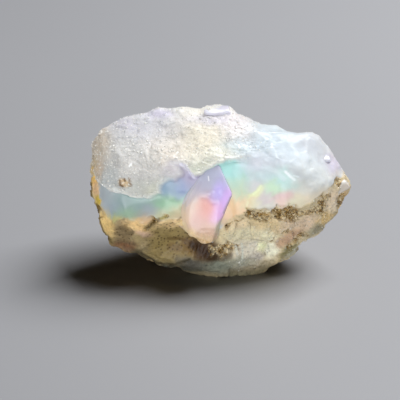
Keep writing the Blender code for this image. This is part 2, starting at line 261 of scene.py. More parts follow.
def back_faces():
    """Random normals that point away from the viewer, each at a share of the pillow's depth, but never so
    near that its plane cuts into the outline."""
    draw = np.random.default_rng(BACK_SEED)
    normals = unit(draw.normal(size=(BACK_FACES * 4, 3)))
    down = np.array([0, -np.cos(VIEW_TILT), -np.sin(VIEW_TILT)])
    wanted = (normals[:, 2] < BACK_LEAST_TURN) & (normals @ down < BACK_MOST_DOWN)
    normals = normals[wanted][:BACK_FACES]
    kept = draw.uniform(*BACK_KEPT, len(normals)) * reach_of_pillow(normals)
    ring = np.c_[OUTLINE, np.zeros(len(OUTLINE))]
    return zip(normals, np.maximum(kept, (normals @ ring.T).max(axis=1)))


def broken_form(d):
    """The pillow, cut by the back's faces, the named faces and the hollows, whose edges wander with noise."""
    bent = unit(d + EDGE_WANDER * noise_ways(d * EDGE_GRAIN, 2, EDGE_SEEDS))
    r = reach_of_pillow(d)
    for normal, distance in back_faces():
        r = soft_min(r, reach_of_plane(bent, normal, distance), BACK_SOFTNESS)
    for face in FACES:
        normal = unit((-face.slopes[0], -face.slopes[1], 1.0))
        r = soft_min(r, reach_of_plane(bent, normal, normal @ np.array(face.point)), face.softness)
    for hollow in HOLLOWS:
        r = soft_min(r, reach_of_hollow(bent, hollow), hollow.softness)
    return r


# %% [markdown]
# ## Which part of the stone is what
# The stone has four kinds of surface: crust, clear window, host rock and brown grit. Painting them by hand
# on the mesh would tie them to one mesh. Here each is a closed line in the view, and each point measures
# how far inside that line it is. With a little noise added to the point first, the line turns ragged.

# %% The lines between crust, windows, rock and grit
CRUST = np.array([
    (-21.9, 2.6), (-19.4, 0.8), (-17.3, 0.0), (-15.3, -0.7), (-12.1, -0.7), (-10.4, 0.0), (-10.0, 1.5),
    (-8.0, 2.9), (-6.6, 3.6), (-8.1, 5.0), (-6.9, 5.2), (-4.5, 2.9), (-3.1, 3.3), (-1.0, 4.6), (1.1, 5.7),
    (3.1, 6.0), (5.9, 6.4), (10.1, 5.0), (11.8, 3.6), (13.6, 2.2), (15.6, 0.6), (18.1, 1.0), (20.6, 3.2),
    (23.0, 5.5), (27.0, 9.0), (27.0, 27.0), (-27.0, 27.0), (-27.0, 4.5), (-24.0, 3.4),
])
WINDOWS = np.array([
    (-22.0, 3.4), (-21.4, -1.8), (-20.4, -3.8), (-19.0, -5.1), (-17.0, -4.2), (-12.8, -5.2), (-9.0, -4.5),
    (-6.9, -4.6), (-5.9, -7.5), (-1.7, -8.5), (0.2, -5.6), (1.6, -4.4), (4.5, -2.7), (9.4, -2.9),
    (13.6, -2.4), (16.6, -1.0), (18.3, 0.4), (21.5, 3.0), (23.5, 7.0), (0.0, 12.0), (-20.0, 9.0),
])
print("corners of the crust's line:", len(CRUST), "and of the windows' line:", len(WINDOWS))


def distance_to_line(points, start, end):
    """Distance from a straight stretch: the nearest place on it is a dot product, kept between its ends."""
    along = end - start
    share = np.clip((points - start) @ along / (along @ along), 0, 1)
    return np.hypot(*(points - start - share[:, None] * along).T)


def distance_to_path(points, path):
    """The smallest of the distances to the path's stretches."""
    path = np.array(path, float)
    return np.min([distance_to_line(points, a, b) for a, b in zip(path, path[1:])], axis=0)


def depth_inside(points, outline):
    """Distance from a closed line, positive inside it: a point is inside if it has an odd number of the
    line's stretches to its right."""
    inside = np.zeros(len(points), bool)
    for start, end in zip(outline, np.roll(outline, -1, axis=0)):
        crosses = (start[1] > points[:, 1]) != (end[1] > points[:, 1])
        rise = end[1] - start[1]
        if rise:
            meets = start[0] + (points[:, 1] - start[1]) * (end[0] - start[0]) / rise
            inside ^= crosses & (points[:, 0] < meets)
    nearest = distance_to_path(points, np.vstack([outline, outline[:1]]))
    return np.where(inside, nearest, -nearest)


def ellipse(points, u, v, half_u, half_v, turn=0):
    """Distance from an ellipse's centre, where 1 is its rim."""
    turn = np.radians(turn)
    du, dv = points[:, 0] - u, points[:, 1] - v
    a = (du * np.cos(turn) + dv * np.sin(turn)) / half_u
    return np.hypot(a, (-du * np.sin(turn) + dv * np.cos(turn)) / half_v)


# %% [markdown]
# ## Dents, grit and the crust's step
# Some forms only show from the front: the two bowls under the left window, the recess under the prism's
# tip, and the gritty groove. They are given in u and v and pushed straight in, because a ball that is
# seen along its side from the stone's middle would make a comb of long thin faces.

# %% Dents and strokes of grit
Dent = namedtuple("Dent", "name depth u v half_u half_v turn")
DENTS = [
    Dent("large bowl", 2.6, -8.6, -8.5, 5.2, 3.3, -8),
    Dent("small bowl", 1.5, -17.6, -7.9, 2.0, 2.7, -20),
    Dent("recess under the prism's tip", 2.2, -3.6, -9.4, 2.5, 2.0, -35),
    Dent("gritty pit", 1.3, 0.6, -10.3, 2.7, 1.6, 12),
    Dent("nick in the ledge", 0.9, -12.6, -5.0, 0.8, 1.6, -38),
    Dent("low step", 0.8, 9.2, -9.6, 3.4, 1.5, 38),
    Dent("groove beside the slab", 0.8, 12.0, -7.4, 2.8, 0.8, 30),
    Dent("pit in the crust", 0.7, -17.0, 1.8, 1.2, 1.1, 0),
]
BOWLS = DENTS[:2]
DENT_FULLNESS = 0.8
CRUST_SKIN, CRUST_STEP, CRUST_EDGE_WANDER = 0.65, (-0.12, 0.22), 0.22
CRUST_FADING, CRUST_FADING_FROM = 1.6, (2.6, 6.0)
LILAC_FADING, LILAC_END = 1.3, (-8.4, 4.0, 2.4, 1.9)
CRUST_FADE_LEFT, CRUST_FADE_RIGHT = (-23.5, -20.5), (-22.5, -19.5)
FRONT_FADE = (-2.0, 1.0)
RAGGED, RAGGED_GRAIN, RAGGED_SEEDS = 0.45, 0.9, (21, 22)
LUMP, LUMP_GRAIN, LUMP_SEED = 0.30, 0.28, 31
STROKE_SWELL, STROKE_GRAIN, STROKE_SEED = 0.85, 0.85, 41

Stroke = namedtuple("Stroke", "name path width depth strength")
GRIT = [
    Stroke("groove, left lobe", [(5.0, -3.5), (6.4, -3.9), (7.9, -3.8)], 0.95, 0.45, 1.0),
    Stroke("groove between the lobes", [(7.9, -3.4), (9.2, -3.3)], 0.32, 0.3, 0.5),
    Stroke("groove, middle lobe", [(9.9, -3.5), (11.4, -3.6), (13.2, -3.6)], 1.30, 0.60, 1.0),
    Stroke("groove, right", [(13.9, -3.5), (16.2, -3.0), (17.8, -2.4)], 0.70, 0.40, 0.65),
    Stroke("spots at the right end", [(17.8, -3.0), (18.2, -1.6), (18.7, -0.3)], 0.80, 0.35, 0.9),
    Stroke("band at the tip", [(21.0, 2.2), (21.7, 0.9), (22.0, -0.6), (21.4, -2.0)], 0.85, 0.35, 0.85),
    Stroke("crack beside the prism", [(1.0, -5.7), (2.2, -4.9), (3.9, -4.3)], 0.20, 0.25, 0.9),
    Stroke("crack's branch", [(0.9, -6.3), (1.7, -5.6)], 0.20, 0.2, 0.7),
    Stroke("nick in the ledge", [(-13.4, -5.8), (-12.6, -5.3), (-11.9, -4.6)], 0.60, 0.3, 1.0),
    Stroke("small nick", [(-9.9, -4.0), (-9.3, -3.8)], 0.45, 0.3, 0.8),
    Stroke("gritty pit", [(-1.2, -10.8), (0.8, -10.5), (2.1, -9.9)], 1.25, 0.1, 0.95),
    Stroke("groove beside the slab", [(9.8, -8.8), (10.6, -8.0), (11.3, -7.4), (12.3, -6.8)], 0.48, 0.3, 0.9),
    Stroke("groove under the slab", [(12.2, -9.7), (13.5, -8.3), (15.2, -7.1)], 0.46, 0.3, 0.85),
    Stroke("dark spot, upper left", [(-23.4, 7.1), (-23.1, 6.6)], 0.35, 0.2, 0.8),
]


print(len(DENTS), "dents and", len(GRIT), "strokes of grit")


def dent_depth(uv, dent):
    """Depth times one minus the squared distance from the centre, measured in half sizes."""
    return dent.depth * np.clip(1 - ellipse(uv, *dent[2:]) ** 2, 0, 1) ** DENT_FULLNESS


def grit_share(uv, p):
    """How gritty each point is, 0 to 1, and how deep: 1 on a stroke's path, falling to 0 at its width,
    which itself swells and shrinks with noise."""
    swell = 1 + STROKE_SWELL * fractal(p * STROKE_GRAIN, 3, STROKE_SEED)
    share, depth = np.zeros(len(uv)), np.zeros(len(uv))
    for stroke in GRIT:
        near = 1 - ramp(0.45, 1.15, distance_to_path(uv, stroke.path) / (stroke.width * swell))
        share = np.maximum(share, near * stroke.strength)
        depth = np.maximum(depth, near * stroke.depth)
    return share, depth


# %% [markdown]
# ## Fine relief
# Each kind of surface breaks in its own way. The crust is sugar: small grains, each with a flat top turned
# its own way, so cells of noise are tilted at random. On the right it is smoother and has larger flats.
# The windows have only the faint rings that a blow leaves in glass. Host rock is hackly, with pores. The
# mesh has a point every 0.15 mm or so, which is enough for grains of half a millimetre as real shape.

# %% Relief of crust, windows, rock and grit
def tilted_grains(p, size, tilt, seed):
    """Cells of one size, each a flat that leans its own way: the way from the cell's centre, dotted with a
    random slope. Their edges are steps, as between grains."""
    first, second, way, marks = cells(p / size, seed)
    slope = (marks[:, :3] - 0.5) * 2
    return size * tilt * np.clip((way * slope).sum(1), -0.6, 0.6), first, second, marks


def crust_relief(p, smooth_side):
    """Coarse and fine grains; where the crust is smooth there are larger, flatter flats instead."""
    wide = tilted_grains(p, 2.4, 0.14, 51)[0]
    grain = tilted_grains(p, 0.95, 0.11, 52)[0]
    fine = tilted_grains(p, 0.45, 0.14, 53)[0]
    swell = 0.20 * fractal(p * 0.45, 3, 54)
    return swell + wide * (0.75 - 0.30 * smooth_side) + (grain + fine) * (1 - 0.88 * smooth_side)


def window_relief(p):
    """Faint rings about a point low on each side, as a blow leaves them, and a slow swell."""
    rings = 0
    for centre, wave in (((-25.0, -9.0, 6.0), 1.7), ((20.0, 12.0, 6.0), 2.3)):
        away = np.linalg.norm(p - np.array(centre), axis=1) + 0.8 * fractal(p * 0.35, 2, 61)
        rings = rings + 0.012 * np.sin(away * 2 * np.pi / wave)
    return rings + 0.10 * fractal(p * 0.3, 2, 62)


def rock_relief(p):
    """Hackly flats, and pores: where a random point of a cell is near and its mark is low, a small pit."""
    flats = tilted_grains(p, 2.4, 0.22, 71)[0] + tilted_grains(p, 0.8, 0.20, 72)[0]
    first, _, _, marks = cells(p / 0.9, 73)
    pore = (marks[:, 3] < 0.5) * (1 - ramp(0.12, 0.16 + 0.20 * marks[:, 0], first))
    return flats + 0.14 * fractal(p * 1.1, 3, 74), pore


def grit_relief(p):
    """Crumbs of two sizes with deep gaps between them, where the two nearest cell points are as near."""
    coarse, first, second, _ = tilted_grains(p, 0.70, 0.4, 81)
    gaps = 1 - ramp(0.02, 0.30, second - first)
    return coarse + tilted_grains(p, 0.4, 0.4, 82)[0] - 0.16 * gaps, gaps


# %% [markdown]
# ## One function for the surface
# Here the form, the regions and the relief come together. The function gives the distance from the middle
# and, with it, how much of each kind of surface every point has, because colour and gloss need the same
# shares later on.

# %% The whole surface
Surface = namedtuple("Surface", "p uv front crust window rock grit pore gaps smooth edge bowl")
BACK_EDGE, BACK_EDGE_WANDER, BACK_EDGE_GRAIN, BACK_EDGE_SEED = 3.0, 3.2, 0.16, 91
BACK_SKIN, BACK_WINDOW = 0.4, (-7.0, 3.2, 7.2, 4.6, 8)
SMOOTH_FROM, SMOOTH_WANDER, SMOOTH_SEED = (4.0, 9.0), 1.2, 92
CALM_BOWL, PORE_DEPTH = 0.7, 0.30
LIP_HEIGHT, LIP_AT, LIP_WIDTH = 0.12, 0.25, 0.30


def crust_shares(p, uv, front, edge):
    """How much crust there is, and how far it stands out: inside its line at the front, whose step fades
    towards the right and under the lilac end, and above a wandering level at the back, where a window is
    left out of it."""
    ends = ramp(*CRUST_FADE_LEFT, uv[:, 0]) * ramp(*CRUST_FADE_RIGHT, -uv[:, 0])
    fading = CRUST_FADING * ramp(*CRUST_FADING_FROM, uv[:, 0])
    fading = fading + LILAC_FADING * (1 - ramp(0.5, 1.3, ellipse(uv, *LILAC_END)))
    crust = front * ramp(CRUST_STEP[0] - fading, CRUST_STEP[1] + fading, edge)
    back_edge = p[:, 1] - BACK_EDGE - BACK_EDGE_WANDER * fractal(p * BACK_EDGE_GRAIN, 3, BACK_EDGE_SEED)
    back_window = (1 - ramp(0.75, 1.05, ellipse(uv, *BACK_WINDOW))) * (1 - front)
    back_crust = (1 - front) * ramp(-0.5, 0.5, back_edge) * (1 - back_window)
    stands_out = ends * CRUST_SKIN * (crust + BACK_SKIN * back_crust)
    lip = np.exp(-(((edge - LIP_AT) / LIP_WIDTH) ** 2)) * front * ends
    stands_out = stands_out + LIP_HEIGHT * lip * (1 - ramp(*CRUST_FADING_FROM, uv[:, 0]))
    return crust * (1 - back_window) + back_crust, back_window, stands_out


def surface_of(d):
    """The broken form; plus the crust's thickness inside its line; minus dents and grit; plus the relief of
    whichever kind of surface is there."""
    r = broken_form(d)
    p = d * r[:, None]
    ragged = noise_ways(p * RAGGED_GRAIN, 3, RAGGED_SEEDS)
    uv = p[:, :2] + RAGGED * ragged
    front = ramp(*FRONT_FADE, p[:, 2])
    edge = depth_inside(uv + CRUST_EDGE_WANDER * ragged[:, ::-1], CRUST)
    crust, back_window, stands_out = crust_shares(p, uv, front, edge)
    grit, grit_depth = (share * front for share in grit_share(uv, p))
    window = front * ramp(-0.25, 0.25, depth_inside(uv, WINDOWS)) * (1 - crust) + back_window
    window = window * (1 - grit)
    rock = np.clip(1 - crust - window, 0, 1)
    bowl = front * (1 - ramp(0.8, 1.05, np.min([ellipse(uv, *dent[2:]) for dent in BOWLS], axis=0)))
    smooth = ramp(*SMOOTH_FROM, p[:, 0] + SMOOTH_WANDER * fractal(p * 0.3, 2, SMOOTH_SEED)) * front
    hackly, pore = rock_relief(p)
    crumbs, gaps = grit_relief(p)
    r = r + stands_out - grit_depth + LUMP * fractal(p * LUMP_GRAIN, 2, LUMP_SEED)
    r = r - front * sum(dent_depth(uv, dent) for dent in DENTS)
    r = r + crust * (1 - grit) * crust_relief(p, smooth) + window * window_relief(p)
    r = r + rock * (1 - grit) * (hackly * (1 - CALM_BOWL * bowl) - PORE_DEPTH * pore) + grit * crumbs
    p = d * r[:, None]
    uv = p[:, :2] + RAGGED * ragged
    return r, Surface(p, uv, front, crust, window, rock, grit, pore, gaps, smooth, edge, bowl)

# %% [markdown]
# ## The grid under it
# A ball with poles would crowd its points there and smear the relief. Six square patches, blown up from a
# cube's sides to a ball, spread them evenly. The ball is then stretched to the stone's rough size, so that
# the long ends get their share, and shifted forwards, so that the front is the finer side.

# %% A grid of directions
def cube_grid(n, spread, forward=0.0):
    """Two parameters run over each side of a cube, spaced as tangents so that cells stay even; the points
    are merged along the cube's edges, stretched by spread and shifted forwards, and made one long."""
    t = np.tan(np.linspace(-1, 1, n + 1) * np.pi / 4)
    a, b = np.meshgrid(t, t, indexing="ij")
    one = np.ones_like(a)
    sides = [(one, a, b), (-one, -a, b), (-a, one, b), (a, -one, b), (-b, a, one), (b, a, -one)]
    points = np.concatenate([np.stack(side, -1).reshape(-1, 3) for side in sides])
    index = np.arange((n + 1) ** 2).reshape(n + 1, n + 1)
    quad = np.stack([index[:-1, :-1], index[1:, :-1], index[1:, 1:], index[:-1, 1:]], -1).reshape(-1, 4)
    quads = np.concatenate([quad + i * (n + 1) ** 2 for i in range(6)])
    _, first, merged = np.unique(np.round(points, 6), axis=0, return_index=True, return_inverse=True)
    ball = unit(points[first]) + np.array([0, 0, forward])
    return unit(ball * np.array(spread)), merged.reshape(-1)[quads]


def new_piece(name, points, faces, material, smooth=True, **attributes):
    """A mesh object at the origin from points in metres; each attribute is three values from 0 to 1, for
    every point or one set for all."""
    mesh = bpy.data.meshes.new(name)
    mesh.from_pydata(points.tolist(), [], faces.tolist())
    for label, values in attributes.items():
        values = np.broadcast_to(np.clip(values, 0, 1), (len(points), 3))
        layer = mesh.attributes.new(label, "FLOAT_COLOR", "POINT")
        layer.data.foreach_set("color", np.c_[values, np.ones(len(values))].astype(np.float32).ravel())
    mesh.polygons.foreach_set("use_smooth", np.full(len(faces), smooth))
    mesh.materials.append(material)
    mesh.update()
    piece = bpy.data.objects.new(name, mesh)
    bpy.context.scene.collection.objects.link(piece)
    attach(piece, "root")
    triangles = sum(len(face) - 2 for face in faces)
    print(f"{name}: {len(points)} points, {triangles} triangles")
    return piece


STONE_CELLS = 127
directions, stone_faces = cube_grid(STONE_CELLS, (24, 15, 12), forward=0.32)
reach, surface = surface_of(directions)
print(f"grid: {len(directions)} directions; surface {reach.min():.2f} to {reach.max():.2f} mm away")

# %% [markdown]
# ## Colour: named patches
# Opal has no paint: its colours are light sorted by tiny stacked balls of silica, so they come as soft
# patches that shade into each other, while the rock has stains. An image of the stone would fix them to
# one side and hold its light and shadow too. Here each patch is named and placed one by one with its own
# colour, and every point takes a weighted average of the patches around it, so that none has an edge.

# %% How patches are mixed
Patch = namedtuple("Patch", "name u v half_u half_v turn colour strength")


def linear(colour):
    """A colour of 0 to 255 as light: its share to the power 2.4, with the short straight part near black."""
    c = np.array(colour, float) / 255
    return np.where(c < 0.04045, c / 12.92, ((c + 0.055) / 1.055) ** 2.4)


def mix_patches(base, points, patches, base_weight=0.1, fall=1.6):
    """The average of all patches' colours, each weighted by its strength and by a bell curve of its distance,
    which is e to the power of minus fall at its rim. The base colour counts a little everywhere."""
    total = np.full((len(points), 1), base_weight)
    colours = total * linear(base)
    for patch in patches:
        away = ellipse(points, patch.u, patch.v, patch.half_u, patch.half_v, patch.turn)
        weight = (patch.strength * np.exp(-fall * away**2))[:, None]
        colours = colours + weight * linear(patch.colour)
        total = total + weight
    return colours / total


def blend(a, b, share):
    """Share of b over a; the share is a value for each point."""
    return a * (1 - share[:, None]) + b * share[:, None]


def rays(points, centre, fineness, seed):
    """Pushes along the direction from a centre, out or in, by a noise that changes with that direction and
    hardly with the distance."""
    away = points - np.array(centre)
    distance = np.hypot(*away.T)
    angle = np.arctan2(away[:, 1], away[:, 0])
    noise = fractal(np.stack([angle * fineness, np.log(distance + 1) * 0.6, 0 * angle], axis=1), 2, seed)
    return noise[:, None] * away / (distance[:, None] + 1e-6)


# %% [markdown]
# ## The crust's and the windows' colours
# The crust is white, but never one white: lilac-grey on top, cream in the middle, bluish where it is
# smooth and clear, golden where the rock's iron has stained it at the left end. In the windows the colours
# run like a rainbow from blue at the top to green and to peach at the ledge.

# %% Patches of crust and windows
CRUST_PATCHES = [
    Patch("lilac grey on top", -13.5, 11.6, 7.0, 2.6, -8, (214, 213, 218), 1.0),
    Patch("grey-white", -15.5, 7.5, 4.0, 3.0, 0, (221, 219, 216), 0.8),
    Patch("warm", -9.9, 8.0, 3.2, 2.6, 0, (236, 226, 212), 0.8),
    Patch("cream", -3.5, 9.8, 4.0, 3.4, 0, (244, 235, 214), 1.2),
    Patch("pinkish", 2.8, 11.6, 3.2, 2.0, -30, (239, 229, 226), 1.0),
    Patch("lavender under the flake", -1.5, 13.0, 3.6, 0.9, 0, (207, 204, 222), 1.0),
    Patch("lilac bump", -11.0, 14.2, 2.0, 0.8, 0, (208, 203, 224), 1.0),
    Patch("lilac, top left", -17.0, 12.6, 2.6, 1.0, -25, (214, 209, 222), 0.8),
    Patch("beige upper left", -21.9, 9.0, 1.9, 3.0, 0, (226, 208, 184), 1.0),
    Patch("golden left end", -23.2, 4.6, 1.2, 2.6, 0, (226, 196, 140), 1.2),
    Patch("peach beside it", -21.7, 4.4, 0.9, 1.6, 0, (232, 206, 178), 0.9),
    # From grey, low left to the cream-green edge: white crust where it turns down towards the windows, partly
    # painted shade.
    Patch("grey, low left", -19.4, 2.6, 1.9, 1.6, 0, (214, 217, 215), 1.0),
    Patch("grey-white, low", -15.0, 4.4, 3.0, 1.8, 0, (226, 222, 216), 0.9),
    Patch("grey-green at the edge", -13.5, 0.9, 3.2, 1.2, 0, (222, 223, 214), 1.0),
    Patch("cream-green edge", -11.6, 0.6, 1.4, 0.9, 0, (224, 224, 202), 0.9),
    Patch("lilac at the edge", -8.2, 4.6, 1.8, 1.2, 0, (224, 218, 222), 0.8),
    Patch("greenish at the prism", -4.0, 4.6, 2.4, 1.0, 20, (230, 233, 214), 0.9),
    Patch("greenish white", -0.5, 7.0, 3.2, 1.5, 10, (239, 240, 226), 0.9),
    Patch("blue-white streak", 3.1, 8.4, 2.4, 1.1, 0, (218, 234, 240), 1.0),
    Patch("bluish", 9.0, 8.6, 6.4, 3.2, -8, (210, 224, 233), 1.2),
    Patch("white ice", 11.5, 6.3, 4.6, 1.6, -4, (226, 235, 241), 1.0),
    Patch("grey upper right", 15.6, 8.8, 2.6, 2.0, -40, (216, 219, 226), 0.9),
    Patch("blue-grey, low right", 15.3, 4.0, 4.0, 2.0, 0, (233, 239, 240), 1.1),
    Patch("lilac right edge", 20.0, 5.2, 1.3, 1.8, 50, (214, 205, 224), 1.2),
    Patch("pinkish cream", 21.3, 3.3, 1.0, 0.8, 0, (236, 220, 204), 1.0),
]
WINDOW_PATCHES = [
    Patch("grey, far left", -20.0, 0.2, 1.6, 1.9, 0, (180, 188, 192), 1.0),
    # Blue-grey and steel teal: the opal's own play-of-colour, made darker and greyer by painted shade under
    # the crust's overhang.
    Patch("blue-grey", -19.1, -2.5, 1.5, 1.1, -30, (166, 178, 190), 1.0),
    Patch("steel teal", -17.2, -1.4, 1.7, 1.4, -20, (150, 172, 170), 1.2),
    Patch("green, low left", -16.4, -3.7, 2.2, 0.9, 0, (158, 188, 156), 1.3),
    Patch("yellow-green at the ledge", -19.0, -4.7, 1.5, 0.7, -30, (200, 192, 118), 1.1),
    Patch("cream, far left", -20.6, -3.5, 0.8, 1.0, 20, (208, 192, 158), 1.0),
    Patch("grey teal", -14.5, -1.6, 1.5, 1.2, 0, (164, 190, 184), 1.0),
    Patch("pale grey", -12.7, -1.0, 1.3, 1.0, 0, (180, 196, 197), 0.9),
    Patch("lilac grey", -13.0, -2.8, 1.5, 0.7, 0, (176, 176, 197), 1.0),
    Patch("mauve", -14.3, -3.9, 1.3, 0.5, 0, (180, 162, 166), 0.9),
    Patch("orange cream at the ledge", -13.6, -4.8, 2.8, 0.5, 0, (230, 190, 144), 1.2),
    Patch("green", -10.8, -1.9, 1.8, 1.0, 5, (164, 204, 172), 1.2),
    Patch("bright green", -8.0, -1.5, 1.9, 1.1, 15, (176, 212, 178), 1.4),
    Patch("cream, low", -9.0, -3.4, 2.2, 0.8, 0, (208, 200, 164), 1.1),
    Patch("peach beside the prism", -7.0, -3.0, 0.9, 1.1, 0, (224, 200, 166), 1.1),
    Patch("blue", -8.5, 0.9, 1.9, 1.1, 10, (154, 178, 199), 1.5),
    Patch("blue-violet", -7.0, 0.5, 0.9, 1.2, -25, (150, 160, 212), 1.3),
    Patch("violet grey", -6.1, 2.3, 1.2, 1.3, -20, (176, 166, 194), 1.2),
    Patch("lilac, top", -7.4, 4.0, 1.3, 0.9, 0, (210, 204, 214), 1.0),
    Patch("aqua", 2.0, 4.3, 1.9, 1.4, 0, (184, 233, 228), 1.5),
    Patch("aqua to mint", 3.2, 2.4, 1.2, 1.2, 0, (186, 218, 198), 1.1),
    Patch("mint", 2.8, 0.9, 1.4, 1.2, -10, (202, 218, 186), 1.2),
    Patch("peach wedge", 2.7, -2.2, 1.7, 1.6, 0, (244, 208, 166), 1.4),
    Patch("lilac-grey", 6.0, 4.9, 2.2, 1.4, 0, (212, 214, 223), 1.1),
    Patch("aqua-grey", 7.1, 3.3, 1.7, 1.2, 0, (204, 226, 226), 1.1),
    Patch("pinkish grey", 5.9, 1.8, 1.2, 0.8, 0, (215, 211, 212), 1.0),
    Patch("lemon", 5.9, 0.1, 1.0, 0.4, 35, (232, 236, 182), 1.0),
    Patch("mint, right", 9.1, 1.1, 1.5, 0.9, 0, (204, 232, 200), 1.1),
    Patch("pale lilac", 8.1, -0.6, 1.1, 0.8, 0, (212, 200, 200), 1.0),
    Patch("cream green, low", 5.2, -1.9, 1.3, 0.8, 0, (226, 220, 180), 1.0),
    Patch("pale, low", 7.5, -2.1, 1.5, 0.8, 0, (216, 213, 202), 1.0),
    Patch("pink", 11.1, -0.5, 1.3, 0.7, 10, (233, 199, 200), 1.2),
    Patch("pink, low", 10.3, -1.7, 0.9, 0.7, 0, (236, 206, 190), 0.9),
    Patch("green cream", 12.9, -1.2, 1.4, 0.8, 0, (226, 227, 198), 1.0),
    Patch("teal", 11.3, 2.4, 1.6, 0.9, -35, (202, 233, 229), 1.0),
    Patch("grey-white, right", 14.6, 0.9, 2.0, 1.0, 0, (228, 228, 218), 1.0),
    Patch("gritty cream", 15.4, -0.7, 2.2, 0.9, 15, (242, 228, 202), 1.6),
]
print(len(CRUST_PATCHES), "crust patches and", len(WINDOW_PATCHES), "patches of play-of-colour")

# %% [markdown]
# ## The rock's colours
# The host rock is opal too, but with clay and iron in it: cream and beige where light gets in, olive in
# the bowls and brown in the recess, which painted shadow under the prism's tip darkens further. Under the
# stone it is painted shade: grey-green, dark towards the bottom.

# %% Patches of the rock
ROCK_PATCHES = [
    Patch("beige under the right window", 8.5, -5.2, 2.8, 1.2, 0, (210, 188, 146), 1.1),
    Patch("beige beside the prism", 2.3, -5.4, 1.5, 0.9, 0, (221, 200, 164), 1.1),
    Patch("greenish cream", 4.2, -7.2, 2.6, 1.2, 0, (216, 206, 172), 1.0),
    Patch("pinkish beige", 12.0, -5.2, 1.8, 1.1, 0, (211, 188, 160), 1.0),
    Patch("right beige", 15.4, -5.2, 1.8, 0.9, 30, (200, 178, 152), 1.0),
    Patch("golden right", 18.7, -4.6, 1.1, 0.8, 30, (220, 188, 126), 1.1),
    Patch("grey-green right", 17.2, -6.2, 1.7, 0.7, 25, (140, 134, 112), 1.0),
    Patch("pale grey-green", 4.6, -9.6, 2.0, 1.7, 0, (212, 205, 187), 1.1),
    Patch("cream white", 8.2, -7.6, 1.3, 1.2, 0, (232, 224, 190), 1.0),
    Patch("lemon flash", 7.3, -9.3, 0.7, 0.7, 0, (232, 234, 188), 1.0),
    Patch("whitish green", 9.2, -9.9, 0.9, 1.1, -20, (232, 230, 206), 1.0),
    Patch("lilac flash", 6.5, -11.2, 1.0, 0.6, 0, (190, 182, 172), 0.8),
    Patch("grey, low middle", 4.0, -12.2, 2.0, 0.8, 0, (156, 156, 140), 1.0),
    Patch("pinkish brown slab", 12.1, -7.9, 2.5, 0.6, 35, (180, 148, 120), 1.5),
    Patch("olive groove", 12.1, -10.4, 1.6, 0.5, 45, (116, 110, 74), 1.1),
    Patch("slab's foot", 12.6, -11.2, 1.8, 0.5, 45, (180, 178, 158), 1.0),
    Patch("grey-beige, low", 6.6, -13.8, 3.2, 1.3, 0, (178, 166, 145), 1.0),
    # Painted shade on the underside: the bottom's grey-green and the dark patches under the small bowl and at
    # the bottom left.
    Patch("grey-green bottom", -0.5, -13.0, 2.8, 1.2, 0, (120, 126, 113), 1.0),
    Patch("painted shade under the small bowl", -13.4, -12.0, 2.4, 0.8, -35, (70, 66, 52), 1.8),
    Patch("painted shade, bottom left", -9.0, -13.9, 4.0, 1.0, 0, (56, 58, 52), 2.6),
    Patch("ledge's lip", -14.8, -5.8, 2.0, 0.8, -10, (230, 194, 136), 1.5),
    Patch("ledge's lip, right", -9.0, -4.9, 2.6, 0.8, 12, (212, 184, 136), 1.3),
    Patch("mauve under the lip", -13.6, -7.0, 1.6, 0.5, -14, (196, 164, 146), 1.0),
    Patch("large bowl", -9.6, -9.0, 4.2, 2.6, -8, (132, 114, 68), 2.2),
    Patch("bowl's right", -5.7, -9.2, 1.6, 1.3, 0, (98, 68, 28), 2.4),
    Patch("bowl's left shoulder", -13.6, -9.2, 1.1, 1.3, 0, (150, 134, 104), 1.0),
    # Painted shadow: the recess under the prism's tip, brown rock painted nearly black as if shaded by the
    # overhang.
    Patch("recess", -3.0, -10.0, 1.9, 1.4, -35, (62, 36, 8), 8.0),
    Patch("small bowl", -17.4, -6.9, 1.5, 1.7, -20, (126, 108, 78), 1.8),
    Patch("small bowl's foot", -17.4, -9.4, 1.9, 0.9, 0, (116, 86, 64), 1.6),
    Patch("left corner", -20.4, -5.6, 1.0, 1.8, 25, (214, 182, 118), 1.2),
    Patch("left edge, low", -20.4, -8.4, 0.8, 1.4, 35, (128, 108, 66), 1.0),
    # Painted shade under the bowls.
    Patch("painted shade under the bowls", -5.4, -12.5, 2.4, 0.8, -15, (80, 79, 74), 1.8),
    Patch("right end", 20.0, -1.2, 1.6, 1.3, 0, (226, 206, 178), 1.1),
    Patch("tip", 22.4, -1.2, 0.8, 1.4, 0, (192, 160, 118), 1.0),
    Patch("left strip, peach", -22.4, 1.0, 0.6, 1.1, 0, (236, 196, 146), 1.2),
    Patch("left strip, yellow", -21.9, -1.2, 0.6, 0.9, 0, (214, 184, 84), 1.4),
    Patch("left strip, orange", -22.9, 2.8, 0.7, 0.9, 0, (232, 182, 104), 1.1),
    Patch("left strip, olive", -23.8, 0.2, 0.5, 1.6, 0, (112, 92, 46), 1.3),
    Patch("left strip's foot", -22.4, -2.6, 0.6, 0.7, 0, (96, 76, 36), 1.2),
]
BACK_FLASHES = [
    Patch("milky violet", -9.6, 4.6, 2.4, 1.8, 0, (206, 200, 236), 1.0),
    Patch("aqua, back", -5.0, 5.0, 2.6, 1.3, 12, (176, 236, 230), 1.0),
    Patch("green, back", -8.4, 1.6, 2.8, 1.2, 0, (188, 228, 190), 0.9),
    Patch("peach, back", -3.4, 1.4, 1.8, 1.2, 0, (246, 212, 174), 0.9),
]
Streak = namedtuple("Streak", "name path width colour strength")
